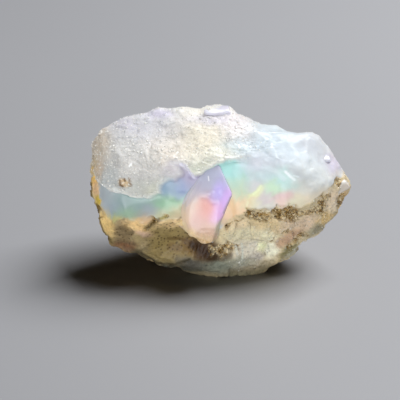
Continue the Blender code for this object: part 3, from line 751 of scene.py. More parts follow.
STREAKS = [
    Streak("sliver on the crust's edge", [(-7.0, 5.2), (-6.2, 4.9), (-4.7, 2.9)], 0.34,
           (232, 230, 244), 0.75),
    Streak("shadow under the sliver", [(-6.9, 4.4), (-6.2, 4.0), (-5.2, 2.7)], 0.26, (176, 170, 194), 0.4),
    # Painted highlights: a glint on the smooth crust's facets, and its end.
    Streak("painted glint", [(11.2, 3.9), (12.0, 3.1), (12.8, 2.5)], 0.30, (246, 254, 254), 0.9),
    Streak("painted glint's end", [(12.6, 3.2), (13.4, 3.0)], 0.20, (240, 250, 252), 0.7),
    Streak("fold above it", [(7.6, 4.8), (9.4, 4.0), (10.9, 2.6)], 0.55, (226, 236, 240), 0.45),
    Streak("lemon flash, upper end", [(5.6, 0.0), (6.4, 0.6), (6.9, 1.4)], 0.24, (240, 248, 200), 0.7),
    Streak("lemon flash's tail", [(4.3, -2.6), (4.7, -1.4)], 0.22, (238, 236, 196), 0.6),
    # Two small painted glints on the crust.
    Streak("painted glint, cream", [(3.1, 8.6), (3.3, 8.1)], 0.16, (255, 255, 252), 0.9),
    Streak("painted glint, ice", [(8.9, 8.9), (8.9, 8.2)], 0.16, (255, 255, 255), 0.9),
    Streak("white streak, low", [(3.7, -8.6), (3.9, -10.4), (3.7, -12.2)], 0.16, (226, 230, 218), 0.7),
    Streak("white streak, low left", [(2.6, -9.2), (2.9, -10.8)], 0.22, (214, 220, 212), 0.6),
    Streak("crack under the beige", [(4.9, -7.9), (7.6, -8.3)], 0.14, (150, 140, 108), 0.5),
    Streak("crack, low", [(5.6, -13.0), (8.2, -13.4), (9.8, -12.6)], 0.14, (110, 96, 70), 0.6),
    Streak("amber in the pit", [(-17.3, 2.1), (-16.6, 1.8)], 0.75, (224, 188, 132), 0.8),
    Streak("pit's rim, left", [(-17.7, 2.3), (-17.6, 1.6), (-17.1, 1.3)], 0.26, (112, 78, 32), 0.85),
    Streak("pit's rim, right", [(-16.0, 2.7), (-15.8, 2.0), (-15.7, 1.4)], 0.22, (122, 90, 48), 0.8),
    Streak("spot in the pit", [(-16.8, 2.6), (-16.7, 2.3)], 0.26, (108, 76, 34), 0.8),
    Streak("glint in the pit", [(-17.2, 1.8), (-17.0, 2.0)], 0.20, (252, 240, 220), 0.9),
    Streak("strip's olive edge", [(-23.7, 1.8), (-23.7, -0.4), (-22.9, -2.6)], 0.50, (104, 86, 38), 0.9),
    Streak("strip's peach", [(-22.5, 1.4), (-21.9, 0.2)], 0.45, (238, 196, 150), 0.8),
    Streak("strip's yellow", [(-22.2, -0.8), (-21.7, -1.7)], 0.40, (220, 188, 74), 0.85),
    Streak("strip's yellow, top", [(-23.1, 4.6), (-22.9, 2.6)], 0.40, (226, 186, 100), 0.7),
    Streak("dark left edge", [(-22.4, -2.8), (-21.2, -6.6), (-19.4, -9.6)], 0.26, (52, 44, 24), 0.7),
    Streak("nick in the ledge", [(-12.9, -6.1), (-12.4, -5.5), (-11.7, -5.0), (-10.8, -4.5)], 0.50,
           (98, 78, 36), 0.8),
    Streak("green end of the nick", [(-10.4, -4.3), (-9.6, -3.9)], 0.36, (176, 168, 104), 0.7),
    Streak("crack up to the prism", [(-7.6, -4.6), (-7.0, -4.1)], 0.20, (120, 92, 56), 0.6),
    Streak("glints low in the crust", [(-15.9, 4.9), (-15.6, 5.3)], 0.22, (255, 255, 252), 0.8),
    Streak("glint in the crust's middle", [(-7.8, 7.0), (-7.5, 7.3)], 0.18, (255, 255, 250), 0.8),
    Streak("dark crest in the large bowl", [(-9.3, -7.9), (-7.6, -7.9), (-5.9, -8.3), (-4.6, -8.9)], 0.36,
           (84, 58, 24), 0.6),
    Streak("reddish floor of the bowl", [(-8.9, -9.3), (-7.6, -9.7)], 0.9, (118, 88, 52), 0.5),
    # Painted shadow under the prism's foot, over the recess's brown.
    Streak("painted shadow under the prism's foot", [(-5.0, -9.0), (-3.6, -9.7), (-2.2, -10.6)], 1.0,
           (50, 28, 6), 0.9),
    Streak("shade in the gritty pit", [(-1.8, -11.3), (0.2, -11.6), (1.6, -11.0)], 0.7, (60, 42, 20), 0.7),
    Streak("red band in the small bowl", [(-19.4, -9.3), (-17.6, -9.1), (-15.6, -9.6)], 0.32,
           (140, 98, 66), 0.5),
    Streak("edge under the large bowl", [(-14.2, -10.6), (-11.4, -12.4), (-8.4, -12.6), (-5.6, -11.6)], 0.26,
           (66, 58, 40), 0.7),
]
CRUST_TONE, ROCK_TONE = 0.84, 1.16  # how light each kind is against its patches
PATCH_WANDER, PATCH_GRAIN = 0.30, 0.6
SPECK_SPACING, SPECK_SHARE = 1.9, 0.07
CRUST_WHITE, WINDOW_MILK, ROCK_TAN = (230, 229, 224), (204, 210, 212), (198, 181, 145)
BACK_TAN, BACK_RUST, BACK_OLIVE, BACK_CRUST = (190, 168, 126), (160, 116, 66), (128, 120, 88), (232, 226, 213)
GRIT_DARK, GRIT_BROWN, GRIT_CREAM = (52, 34, 12), (190, 152, 88), (254, 236, 194)
# On this line the underside's grey-green is painted shade, and the lip's white is a painted highlight.
PORE_BROWN, UNDER_SHADE_GREEN, LIP_HIGHLIGHT, SPECK_BROWN = (62, 44, 20), (80, 82, 70), (246, 247, 240), (140, 120, 92)


def rock_colours(s, warped):
    """Named patches at the front; at the back, tan with rust and olive where two noises are high."""
    front = mix_patches(ROCK_TAN, warped, ROCK_PATCHES, 0.06, 1.4)
    back = np.tile(linear(BACK_TAN), (len(s.p), 1))
    back = blend(back, linear(BACK_RUST), 0.75 * ramp(0.0, 0.5, fractal(s.p * 0.17, 3, 101)))
    back = blend(back, linear(BACK_OLIVE), 0.8 * ramp(0.05, 0.5, fractal(s.p * 0.14, 3, 104)))
    return blend(back, front, s.front)


def window_colours(s, warped):
    """The play-of-colour, looked up at points that are pushed outwards and inwards along rays, so that its
    borders run out in streaks; other patches at the back."""
    left = rays(warped, (-19.5, -7.0), 9.0, 113) * (warped[:, :1] < -3)
    right = rays(warped, (2.0, -6.0), 9.0, 114) * (warped[:, :1] >= -3)
    front = mix_patches(WINDOW_MILK, warped + 0.8 * left + 1.0 * right, WINDOW_PATCHES, 0.02, 0.75)
    return blend(mix_patches(WINDOW_MILK, warped, BACK_FLASHES), front, s.front)


def lay_streaks(colours, points, streaks, share):
    """Thin named strokes over the colour, strongest on their paths."""
    for streak in streaks:
        near = 1 - ramp(0.35, 1.2, distance_to_path(points, streak.path) / streak.width)
        colours = blend(colours, linear(streak.colour), streak.strength * near * share)
    return colours


def stone_colours(s):
    """Window, crust and rock by their shares, then grit, pores and the painted shade of the underside, and
    a little light and dark from noise over all."""
    count = (len(s.p), 1)
    warped = s.uv + PATCH_WANDER * noise_ways(s.p * PATCH_GRAIN, 2, (111, 112))
    crust = mix_patches(CRUST_WHITE, warped, CRUST_PATCHES, 0.15, 1.2)
    crust = CRUST_TONE * blend(crust, linear(BACK_CRUST), 0.5 * (1 - s.front))
    nearest, _, _, marks = cells(s.p / SPECK_SPACING, 121)
    speck = (marks[:, 3] < SPECK_SHARE) * (1 - ramp(0.05, 0.12, nearest)) * (1 - s.smooth)
    crust = blend(crust, linear(SPECK_BROWN), 0.7 * speck)
    rock = ROCK_TONE * rock_colours(s, warped)
    rock = blend(rock, linear(PORE_BROWN), 0.3 * s.pore)
    colours = blend(rock, window_colours(s, warped), s.window / np.maximum(s.window + s.rock, 1e-6))
    colours = blend(colours, crust, s.crust)
    ragged_side = 1 - ramp(*CRUST_FADING_FROM, s.uv[:, 0])
    # Painted highlight: a pale line just inside the crust's front edge, along its ragged left part.
    lip = np.exp(-(((s.edge - 0.1) / 0.30) ** 2)) * s.front * ragged_side
    colours = blend(colours, linear(LIP_HIGHLIGHT), 0.5 * lip * s.crust)
    grain = ramp(-0.28, 0.28, fractal(s.p * 1.2, 3, 131))
    grit = blend(np.tile(linear(GRIT_BROWN), count), linear(GRIT_CREAM), grain)
    grit = blend(grit, linear(GRIT_DARK), np.clip(0.55 * s.gaps + 0.30 * (1 - grain), 0, 1))
    colours = lay_streaks(blend(colours, grit, s.grit), s.p[:, :2], STREAKS, s.front)
    height = in_place(s.p)[:, 2] / MM
    # Painted shade: within 3 mm of the resting face the colour turns dark grey-green, more so the lower it
    # is.
    colours = blend(colours, linear(UNDER_SHADE_GREEN), 0.55 * (1 - ramp(0.3, 3.0, height)))
    shade = 1 + (0.07 - 0.05 * s.window) * fractal(s.p * 0.9, 3, 141)
    return colours * shade[:, None]


tint = stone_colours(surface)
print("mean colour of the stone, as light:", tint.mean(axis=0).round(2))

# %% [markdown]
# ## Materials
# A stone's colour is only half of its look; the other half is how wet, dull or sparkling it is. All the
# stone's surfaces share one recipe: the tint of the points, a grain of light and dark over it, and a
# relief too fine for the mesh. The grain is a node group, so that each material turns it its own way.

# %% Node groups
NODE_STEP = 220  # how far apart nodes are set in the editor, in the order in which they are made
SPECK_FINENESS, PORE_FINENESS, SUGAR_FINENESS = 5.5, 2.7, 2.1  # against each group's scale
PORE_SHARE = 0.36


def wire(tree, node_type, links=None, values=None, **settings):
    """Adds a node, sets what it is and its sockets' values, and links its inputs."""
    node = tree.nodes.new(node_type)
    node.location = (NODE_STEP * len(tree.nodes), 0)
    for key, value in settings.items():
        setattr(node, key, value)
    for key, value in (values or {}).items():
        node.inputs[key].default_value = value
    for key, source in (links or {}).items():
        tree.links.new(source, node.inputs[key])
    return node


def maths(tree, operation, side, other):
    """A sum, product or comparison of a socket with a socket or a number; gives its output."""
    number = isinstance(other, float)
    links = {0: side} if number else {0: side, 1: other}
    return wire(tree, "ShaderNodeMath", links, {1: other} if number else None, operation=operation).outputs[0]


def new_group(name, out_name, out_kind, colour_in=(), **values_in):
    """An empty group with its named inputs and one output; gives the group and what it is given."""
    group = bpy.data.node_groups.new(name, "ShaderNodeTree")
    for label in colour_in:
        group.interface.new_socket(name=label, in_out="INPUT", socket_type="NodeSocketColor")
    for label, value in values_in.items():
        number = group.interface.new_socket(name=label, in_out="INPUT", socket_type="NodeSocketFloat")
        number.default_value = value
    group.interface.new_socket(name=out_name, in_out="OUTPUT", socket_type=out_kind)
    return group, wire(group, "NodeGroupInput").outputs


def pattern(group, kind, scale, **values):
    """A texture on the object's own coordinates, so that it stays on the stone."""
    place = wire(group, "ShaderNodeTexCoord").outputs["Object"]
    return wire(group, kind, {"Vector": place, "Scale": scale}, values).outputs


def spread(group, value, low, high, start, end):
    """A value that runs from low to high, made to run from start to end."""
    return wire(group, "ShaderNodeMapRange", {"Value": value},
                {"From Min": low, "From Max": high, "To Min": start, "To Max": end}).outputs[0]


def first_part(group, colour):
    """The red of a colour, as a value; a cell pattern's colour is random for each cell."""
    return wire(group, "ShaderNodeSeparateColor", {"Color": colour}).outputs[0]


def make_grain_group():
    """Colour times one plus noise: soft clouds and fine specks, each with its own amount; and pores, dark
    dots in some of the cells of a pattern, near each cell's middle."""
    group, given = new_group("mineral grain", "Colour", "NodeSocketColor", ("Colour",),
                             Scale=900.0, Cloud=0.1, Speck=0.1, Pores=0.1)
    clouds = pattern(group, "ShaderNodeTexNoise", given["Scale"], Detail=3.0)
    specks = pattern(group, "ShaderNodeTexVoronoi", maths(group, "MULTIPLY", given["Scale"], SPECK_FINENESS))
    dots = pattern(group, "ShaderNodeTexVoronoi", maths(group, "MULTIPLY", given["Scale"], PORE_FINENESS))
    cloud = spread(group, clouds["Fac"], 0.3, 0.7, -1.0, 1.0)
    speck = spread(group, first_part(group, specks["Color"]), 0.0, 1.0, -1.0, 1.0)
    dot = spread(group, dots["Distance"], 0.16, 0.46, 1.0, 0.0)
    few = maths(group, "GREATER_THAN", first_part(group, dots["Color"]), PORE_SHARE)
    pores = maths(group, "MULTIPLY", maths(group, "MULTIPLY", dot, few), given["Pores"])
    cloud = maths(group, "MULTIPLY", cloud, given["Cloud"])
    speck = maths(group, "MULTIPLY", speck, given["Speck"])
    share = maths(group, "ADD", maths(group, "ADD", cloud, speck), 1.0)
    grey = wire(group, "ShaderNodeCombineColor", {i: share for i in range(3)})
    mixed = wire(group, "ShaderNodeMix", {6: given["Colour"], 7: grey.outputs[0]}, {0: 1.0},
                 data_type="RGBA", blend_type="MULTIPLY", clamp_result=True)
    holes = wire(group, "ShaderNodeMix", {0: pores, 6: mixed.outputs[2]},
                 {7: (*linear(PORE_BROWN), 1)}, data_type="RGBA")
    wire(group, "NodeGroupOutput", {"Colour": holes.outputs[2]})
    return group


def make_sugar_group():
    """Height of tiny flats that lean at random, for a bump: two cell patterns' distances, one coarse and
    one fine, added up."""
    group, given = new_group("sugar relief", "Height", "NodeSocketFloat", Scale=2500.0)
    coarse = pattern(group, "ShaderNodeTexVoronoi", given["Scale"])
    fine = pattern(group, "ShaderNodeTexVoronoi", maths(group, "MULTIPLY", given["Scale"], SUGAR_FINENESS))
    total = maths(group, "ADD", coarse["Distance"], fine["Distance"])
    wire(group, "NodeGroupOutput", {"Height": total})
    return group


GRAIN, SUGAR = make_grain_group(), make_sugar_group()
print("node groups:", [group.name for group in bpy.data.node_groups])

# %% [markdown]
# ## The stone's material
# Tint and finish are attributes of the points, because both follow the stone's own regions. Finish holds
# three values: roughness, how wet it looks, and how sugary. Light goes a little way into opal before it
# comes out again, so the shader has some subsurface; the colours stay in Base Color.

# %% Milky opal, for the stone and for what has grown on it
def opal_material(name, grain_scale, sugar_scale, relief, subsurface, depth):
    """Principled shader: tint with grain as its colour; finish's three values as roughness, coat and the
    strength of the sugar relief; detail's three as the amounts of cloud, speck and pores."""
    material = bpy.data.materials.new(name)
    material.use_nodes = True
    tree = material.node_tree
    shader = tree.nodes["Principled BSDF"]
    tint_in, detail_in, finish_in = (wire(tree, "ShaderNodeAttribute", attribute_name=label).outputs["Color"]
                                     for label in ("tint", "detail", "finish"))
    cloud, speck, pores = wire(tree, "ShaderNodeSeparateColor", {"Color": detail_in}).outputs
    rough, coat, sugar = wire(tree, "ShaderNodeSeparateColor", {"Color": finish_in}).outputs
    grain = wire(tree, "ShaderNodeGroup", {"Colour": tint_in, "Cloud": cloud, "Speck": speck, "Pores": pores},
                 {"Scale": grain_scale}, node_tree=GRAIN)
    flats = wire(tree, "ShaderNodeGroup", None, {"Scale": sugar_scale}, node_tree=SUGAR)
    bump = wire(tree, "ShaderNodeBump", {"Height": flats.outputs["Height"], "Strength": sugar},
                {"Distance": relief})
    for label, source in (("Base Color", grain.outputs["Colour"]), ("Roughness", rough),
                          ("Coat Weight", coat), ("Normal", bump.outputs["Normal"])):
        tree.links.new(source, shader.inputs[label])
    for label, value in (("Coat Roughness", 0.10), ("IOR", 1.45), ("Specular IOR Level", 0.25),
                         ("Subsurface Weight", subsurface), ("Subsurface Radius", (1.0, 0.85, 0.7)),
                         ("Subsurface Scale", depth)):
        shader.inputs[label].default_value = value
    return material


def by_kind(s, crust, window, rock):
    """One value for each kind of surface, blended by how much of each kind a point has."""
    return crust * s.crust + window * s.window + rock * s.rock


def stone_detail(s):
    """How cloudy, specked and porous each point is."""
    smooth = s.smooth * s.crust
    cloud = by_kind(s, 0.035, 0.02, 0.15)
    speck = by_kind(s, 0.06, 0.012, 0.07) - 0.045 * smooth + 0.12 * s.grit
    pores = s.rock * (1 - s.grit) * (0.20 + 0.55 * s.bowl) * s.front + 0.35 * s.rock * (1 - s.front)
    return np.stack([cloud, speck, pores], axis=1)


def stone_finish(s):
    """How rough, how wet and how sugary each point is; grit has values of its own."""
    smooth = s.smooth * s.crust
    rough = by_kind(s, 0.46, 0.27, 0.55) + 0.02 * smooth - 0.05 * s.rock * s.bowl
    coat = by_kind(s, 0.10, 0.25, 0.08) + 0.02 * smooth
    sugar = by_kind(s, 0.22, 0.03, 0.28) - 0.18 * smooth
    return blend(np.stack([rough, coat, sugar], axis=1), np.array([0.85, 0.0, 0.9]), s.grit)


def resting(p):
    """Points in the frame, with what hangs below the resting face pressed flat onto it."""
    placed = in_place(p)
    placed[:, 2] = np.maximum(placed[:, 2], 0.0)
    return placed


MILKY = opal_material("rough opal", 700.0, 2600.0, 0.00012, 0.30, 0.0011)
stone = new_piece("opal_specimen", resting(surface.p), stone_faces, MILKY, tint=tint,
                  finish=stone_finish(surface), detail=stone_detail(surface))
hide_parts("opal_stone")

# %% [markdown]
# ## The prism
# Between the windows a tongue of clear opal stands proud, with flat faces, a painted highlight along its
# left edge and painted shade along its right, and its foot hangs over the recess, dark with painted shadow.
# On the stone's own grid its steep sides would come out as stairs, so it is a piece of its own: what lies
# inside a dozen planes, seen from its own middle.

# %% A body inside planes
BEND_GRAIN = 3.1


def body_inside(planes, centre, n, spread, softness, wander, seed):
    """The smallest distance to any plane, from the body's own centre, with softened edges; noise bends the
    directions a little, so that the edges aren't ruled lines."""
    d, faces = cube_grid(n, spread)
    bent = unit(d + wander * noise_ways(d * BEND_GRAIN, 2, range(seed, seed + 3)))
    reach = np.full(len(d), FAR)
    for point, facing in planes:
        normal = unit(facing)
        reach = soft_min(reach, reach_of_plane(bent, normal, normal @ (np.array(point) - centre)), softness)
    return centre + d * reach[:, None], faces


PRISM_CENTRE = np.array([-2.6, -2.2, 6.2])
PRISM_PLANES = [
    ((-5.4, 0.6, 8.7), (-0.86, 0.51, 0.45)),
    ((-6.55, -2.9, 8.3), (-0.84, 0.08, 0.54)),
    ((-6.15, -6.0, 8.0), (-0.80, -0.34, 0.48)),
    ((-4.5, -7.7, 7.8), (-0.52, -0.85, -0.10)),
    ((-2.2, -8.5, 7.8), (0.22, -0.97, -0.10)),
    ((0.05, -4.8, 8.5), (0.92, -0.39, 0.30)),
    ((1.5, 0.9, 9.0), (0.92, 0.40, 0.25)),
    ((-2.5, 2.0, 9.45), (-0.04, 0.14, 1.0)),
    ((-3.0, -3.0, 9.65), (-0.13, -0.03, 1.0)),
    ((0.7, -0.8, 9.45), (0.28, 0.0, 0.94)),
    ((-4.9, 0.2, 9.25), (-0.50, 0.30, 0.85)),
    ((-3.6, -7.0, 9.10), (-0.08, -0.34, 1.0)),
    ((-3.0, -8.8, 6.0), (0.10, -0.75, -0.70)),
    ((-2.5, 5.0, 9.0), (0.0, 1.0, 0.30)),
    ((-2.5, -1.0, 1.0), (0.0, 0.0, -1.0)),
]
PRISM_PATCHES = [
    Patch("blue-grey, top", -1.7, 3.0, 2.2, 1.5, 0, (188, 191, 211), 1.2),
    Patch("grey middle", -3.0, 0.9, 1.4, 1.2, 0, (194, 190, 206), 1.1),
    Patch("grey bevel", -5.2, -0.6, 0.7, 1.5, -30, (216, 210, 214), 1.1),
    Patch("beige, left", -5.3, -2.7, 1.3, 1.6, -20, (234, 208, 190), 1.4),
    Patch("pale pink", -4.4, -5.0, 1.6, 1.2, 0, (220, 184, 174), 1.1),
    Patch("salmon", -2.7, -2.7, 1.2, 1.6, -10, (230, 162, 150), 2.0),
    Patch("rosy", -3.6, -4.0, 1.2, 1.2, 0, (230, 182, 176), 1.0),
    Patch("pinkish white", -2.5, -6.0, 1.4, 1.2, 0, (224, 188, 164), 1.1),
    Patch("pink-lilac", -0.7, -3.2, 0.9, 1.4, -25, (234, 192, 240), 1.4),
    Patch("violet bar", -0.4, 0.7, 0.7, 1.4, -6, (206, 191, 248), 1.5),
    Patch("violet, low", -1.2, -0.7, 0.8, 0.8, 0, (194, 182, 236), 1.0),
    Patch("lilac edge", 0.8, -0.9, 0.6, 1.2, -16, (228, 194, 252), 1.4),
    Patch("cream, lower left", -5.4, -7.0, 0.9, 0.8, 30, (240, 212, 164), 1.4),
    Patch("peach edge, left", -6.3, -4.6, 0.7, 1.5, 0, (242, 216, 180), 1.4),
    Patch("cream tip", -2.8, -8.0, 1.5, 0.8, -20, (220, 190, 150), 1.5),
    Patch("green-grey, right", -0.3, -5.6, 0.5, 0.8, -20, (196, 200, 180), 0.9),
]
PRISM_MILK, PRISM_EDGE_HIGHLIGHT, PRISM_SHADE = (214, 200, 208), (226, 222, 228), (166, 158, 180)
PRISM_STREAKS = [
    # Painted light on the edges: shade on the grey bevel and along the right edge, a highlight along the left
    # edge.
    Streak("grey bevel", [(-3.6, 1.9), (-4.7, 0.1), (-6.0, -1.9)], 0.40, PRISM_SHADE, 0.2),
    Streak("left edge", [(-4.1, 2.6), (-5.3, 0.6), (-6.6, -1.6)], 0.24, PRISM_EDGE_HIGHLIGHT, 0.8),
    Streak("right edge", [(1.7, -0.6), (1.1, -1.9), (0.5, -3.2)], 0.26, PRISM_SHADE, 0.6),
    Streak("cream edge, low", [(-6.4, -5.2), (-5.9, -7.1), (-4.0, -8.3)], 0.45, (244, 222, 180), 0.7),
    Streak("white mark", [(-2.2, 3.0), (-2.1, 2.3)], 0.12, (250, 250, 255), 0.8),
]
PRISM_GRIT, PRISM_WANDER = [(-4.4, -8.1), (-3.4, -8.5), (-2.4, -8.6)], 0.22


def prism_colours(p):
    """Its patches mixed, its thin edge lines, some of them painted highlight and painted shade, and a few
    brown spots at the foot.
    """
    warped = p[:, :2] + PRISM_WANDER * noise_ways(p * PATCH_GRAIN, 2, (151, 152))
    colours = mix_patches(PRISM_MILK, warped, PRISM_PATCHES, 0.02, 0.8)
    colours = lay_streaks(colours, p[:, :2], PRISM_STREAKS, np.ones(len(p)))
    spots = (1 - ramp(0.2, 0.7, distance_to_path(warped, PRISM_GRIT))) * (fractal(p * 2.0, 2, 153) > 0)
    return blend(colours, linear(GRIT_BROWN), 0.6 * spots)


PRISM_CELLS = 84
points, faces = body_inside(PRISM_PLANES, PRISM_CENTRE, PRISM_CELLS, (5.0, 7.0, 4.0), 0.50, 0.016, 161)
foot = ramp(5.6, 7.8, -points[:, 1])[:, None]  # rough and broken where it ends, clear and smooth above
points = points + (0.03 + 0.20 * foot) * fractal(points * 1.3, 3, 165)[:, None]
new_piece("prism", in_place(points), faces, MILKY, tint=prism_colours(points),
          finish=np.array([0.20, 0.5, 0.02]) + np.array([0.2, -0.3, 0.3]) * foot,
          detail=np.array([0.02, 0.012, 0.0]) + np.array([0.04, 0.06, 0.15]) * foot)

# %% [markdown]
# ## Three small clear bodies
# A flake of clear opal lies on the top edge, a bead sits on the right edge and a knob on the right end. They
# stand on whatever the surface is below them, so their places are looked up: the point of the front that
# is nearest in the view.

# %% Flake, bead and knob
def surface_at(u, v):
    """The point of the stone's front that is nearest to u and v in the view."""
    away = np.hypot(surface.p[:, 0] - u, surface.p[:, 1] - v) + 99 * (surface.p[:, 2] < -1)
    return surface.p[np.argmin(away)]


UP = np.array([0, np.cos(VIEW_TILT), np.sin(VIEW_TILT)])
TOWARDS = np.array([0, -np.sin(VIEW_TILT), np.cos(VIEW_TILT)])
ACROSS = np.array([1.0, 0, 0])
BLOCK_CELLS = 22


def rounded_block(centre, half_sizes, leans, softness, wander, seed):
    """Six planes around a centre, one pair to each of across, towards and up, each leaning a little."""
    planes = [(centre + side * axis * half, side * axis + lean)
              for axis, half, lean in zip((ACROSS, TOWARDS, UP), half_sizes, leans) for side in (1, -1)]
    return body_inside(planes, centre, BLOCK_CELLS, half_sizes, softness, wander, seed)


def clear_body(name, centre, half_sizes, leans, softness, seed, colour, edge_colour):
    """A block with a paler upper front edge, where the light gathers."""
    points, faces = rounded_block(centre, half_sizes, leans, softness, 0.06, seed)
    offset = points - centre
    edge = np.exp(-(((offset @ UP) / half_sizes[2] - 0.8) / 0.25) ** 2) * (offset @ TOWARDS > 0)
    tints = blend(np.tile(linear(colour), (len(points), 1)), linear(edge_colour), edge)
    new_piece(name, resting(points), faces, MILKY, tint=tints,
              finish=(0.18, 0.5, 0.02), detail=(0.03, 0.02, 0.0))


clear_body("top_flake", surface_at(-0.6, 14.6) - 0.1 * UP - 0.8 * TOWARDS, (2.4, 1.5, 0.50),
           ((0.1, 0.45, 0.25), (0.16, 0.3, 0), (-0.10, 0.1, 0.15)), 0.45, 201,
           (208, 205, 218), (240, 240, 246))
clear_body("right_bead", surface_at(18.9, 6.1) - 0.35 * TOWARDS, (0.7, 0.8, 0.6),
           ((0, 0.3, 0), (0.2, 0.1, 0), (0.1, 0, 0.2)), 0.8, 202, (220, 219, 228), (236, 236, 242))
clear_body("right_knob", surface_at(22.5, 1.6) - 0.3 * ACROSS, (0.9, 0.9, 1.1),
           ((0, 0.5, 0.1), (0.3, 0.1, 0), (0.4, 0, 0.2)), 0.8, 203, (212, 202, 190), (226, 222, 216))

# %% [markdown]
# ## Sugar grains and grit crumbs
# From a step away the crust sparkles, because it is thousands of tiny crystals with flat faces, and the
# grooves are packed with brown crumbs. Particles aren't kept when a model is exported, so the grains are
# real meshes: one twenty-sided ball, stretched, turned and placed thousands of times, all as one array.

# %% A field of grains
GOLDEN = (1 + 5**0.5) / 2


def twenty_sides():
    """The icosahedron: twelve points on three golden rectangles; its faces are the triples that lie an
    edge's length apart, turned to face outwards."""
    points = [np.roll((0, a, b * GOLDEN), turn) for turn in range(3) for a in (-1, 1) for b in (-1, 1)]
    points = unit(np.array(points, float))
    gap = np.linalg.norm(points[:, None] - points[None], axis=2)
    near = (gap > 0.1) & (gap < 1.1)
    triples = [(i, j, k) for i in range(12) for j in range(i) for k in range(j)
               if near[i, j] and near[j, k] and near[i, k]]
    triples = np.array(triples)
    a, b, c = (points[triples[:, i]] for i in range(3))
    inward = (np.cross(b - a, c - a) * (a + b + c)).sum(1) < 0
    triples[inward] = triples[inward][:, ::-1]
    return points, triples


def random_turns(draw, count):
    """Turning matrices from random quaternions, by the usual formula."""
    w, x, y, z = unit(draw.normal(size=(count, 4))).T
    rows = [[1 - 2 * (y * y + z * z), 2 * (x * y - z * w), 2 * (x * z + y * w)],
            [2 * (x * y + z * w), 1 - 2 * (x * x + z * z), 2 * (y * z - x * w)],
            [2 * (x * z - y * w), 2 * (y * z + x * w), 1 - 2 * (x * x + y * y)]]
    return np.moveaxis(np.array(rows), 2, 0)


def outward(points, faces):
    """The normal at each point: the sum of its faces' normals, which the cross products give."""
    a, b, c, d = (points[faces[:, i]] for i in range(4))
    normal = np.cross(c - a, d - b)
    total = np.zeros_like(points)
    for i in range(4):
        np.add.at(total, faces[:, i], normal)
    return unit(total + 1e-12)


def grain_field(sites, normals, sizes, stretch, sunk, seed):
    """Every grain's points at once: the unit shape, its corners shifted a little, scaled, turned, and set
    on its site, sunk by a share of its size."""
    draw = np.random.default_rng(seed)
    shape, triples = twenty_sides()
    count = len(sites)
    corners = shape * draw.uniform(0.75, 1.2, (count, 12, 1))
    corners = corners * sizes[:, None, None] * draw.uniform(*stretch, (count, 1, 3))
    corners = np.einsum("nij,nkj->nki", random_turns(draw, count), corners)
    corners = corners + (sites - normals * (sizes * sunk)[:, None])[:, None]
    faces = triples[None] + (np.arange(count) * 12)[:, None, None]
    return corners.reshape(-1, 3), faces.reshape(-1, 3)


def choose_sites(weight, count, seed):
    """Random points of the stone, more where the weight is larger; a point stands for the area around it."""
    draw = np.random.default_rng(seed)
    across = np.linalg.norm(surface.p, axis=1) ** 2 / (1 + 0.5 * directions[:, 2])
    chance = weight * across
    return draw.choice(len(weight), count, replace=False, p=chance / chance.sum())


GRAIN_CORNERS = 12


def scatter(name, weight, count, seed, sizes, stretch, sunk, pick_colours, **looks):
    """Grains all over the stone, more where the weight is high; sizes are the least one, what the largest
    has more, and the power that makes large ones rare."""
    least, more, rareness = sizes
    sites = choose_sites(weight**2 + 1e-9, count, seed + 1)
    sizes = least + more * np.random.default_rng(seed + 2).random(count) ** rareness
    points, faces = grain_field(surface.p[sites], stone_normals[sites], sizes, stretch, sunk, seed + 3)
    colours = pick_colours(sites, np.random.default_rng(seed + 4))
    tints = np.repeat(colours, GRAIN_CORNERS, axis=0)
    new_piece(name, in_place(points), faces, MILKY, smooth=False, tint=tints, **looks)


def sugar_colours(sites, draw):
    """The tint below, turned whiter by a random share; on the rock half as much."""
    whiter = draw.uniform(0.0, 0.85, len(sites)) * (1 - 0.5 * surface.rock[sites])
    return blend(tint[sites], linear((250, 247, 238)), whiter)


def crumb_colours(sites, draw):
    """One of five browns and creams, with a little of the tint below."""
    browns = linear([(70, 46, 14), (136, 100, 44), (186, 148, 84), (224, 190, 130), (250, 232, 190)])
    chosen = browns[draw.choice(5, len(sites), p=(0.15, 0.22, 0.22, 0.24, 0.17))]
    return blend(chosen, tint[sites], np.full(len(sites), 0.3))


stone_normals = outward(surface.p, stone_faces)
SUGAR_GRAINS, GRIT_CRUMBS = ((8000, 2600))
above = in_place(surface.p)[:, 2] / MM > 1.0  # no grain where it could reach below the resting face
bare = (1 - surface.grit) * above
crust_sugar = surface.crust * (1 - 0.90 * surface.smooth)
rock_sugar = 0.75 * surface.rock * surface.front * ramp(-1.0, 3.0, surface.p[:, 0])
scatter("sugar_grains", bare * np.maximum(crust_sugar, rock_sugar), SUGAR_GRAINS, 170, (0.09, 0.20, 3),
        (0.7, 1.25), 0.55, sugar_colours, finish=(0.20, 0.40, 0.0), detail=(0.0, 0.0, 0.0))
scatter("grit_crumbs", surface.grit * above, GRIT_CRUMBS, 180, (0.07, 0.13, 2),
        (0.6, 1.3), 0.35, crumb_colours, finish=(0.70, 0.0, 0.3), detail=(0.05, 0.15, 0.0))

# %% [markdown]
# ## Floor, light and camera
# The floor is plain and pale. A soft lamp stands high at the back right and shapes the stone; a broad one
# low at the front fills the windows, and a weak one lightens the left end. A lamp of its own lights the
# floor, a little further right, so that the shadow falls to the left and towards the viewer, and is dark
# because the fills don't reach it. The sky gives almost nothing. The camera looks from the front, 27
# degrees down, through a long lens, which keeps the stone's shape.

# %% Floor and lights
FLOOR_HALF = 1.5
FLOOR_DARK, FLOOR_LIGHT = (0.345, 0.35, 0.367, 1), (0.365, 0.37, 0.387, 1)
HEART = Vector(MIDDLE * MM)


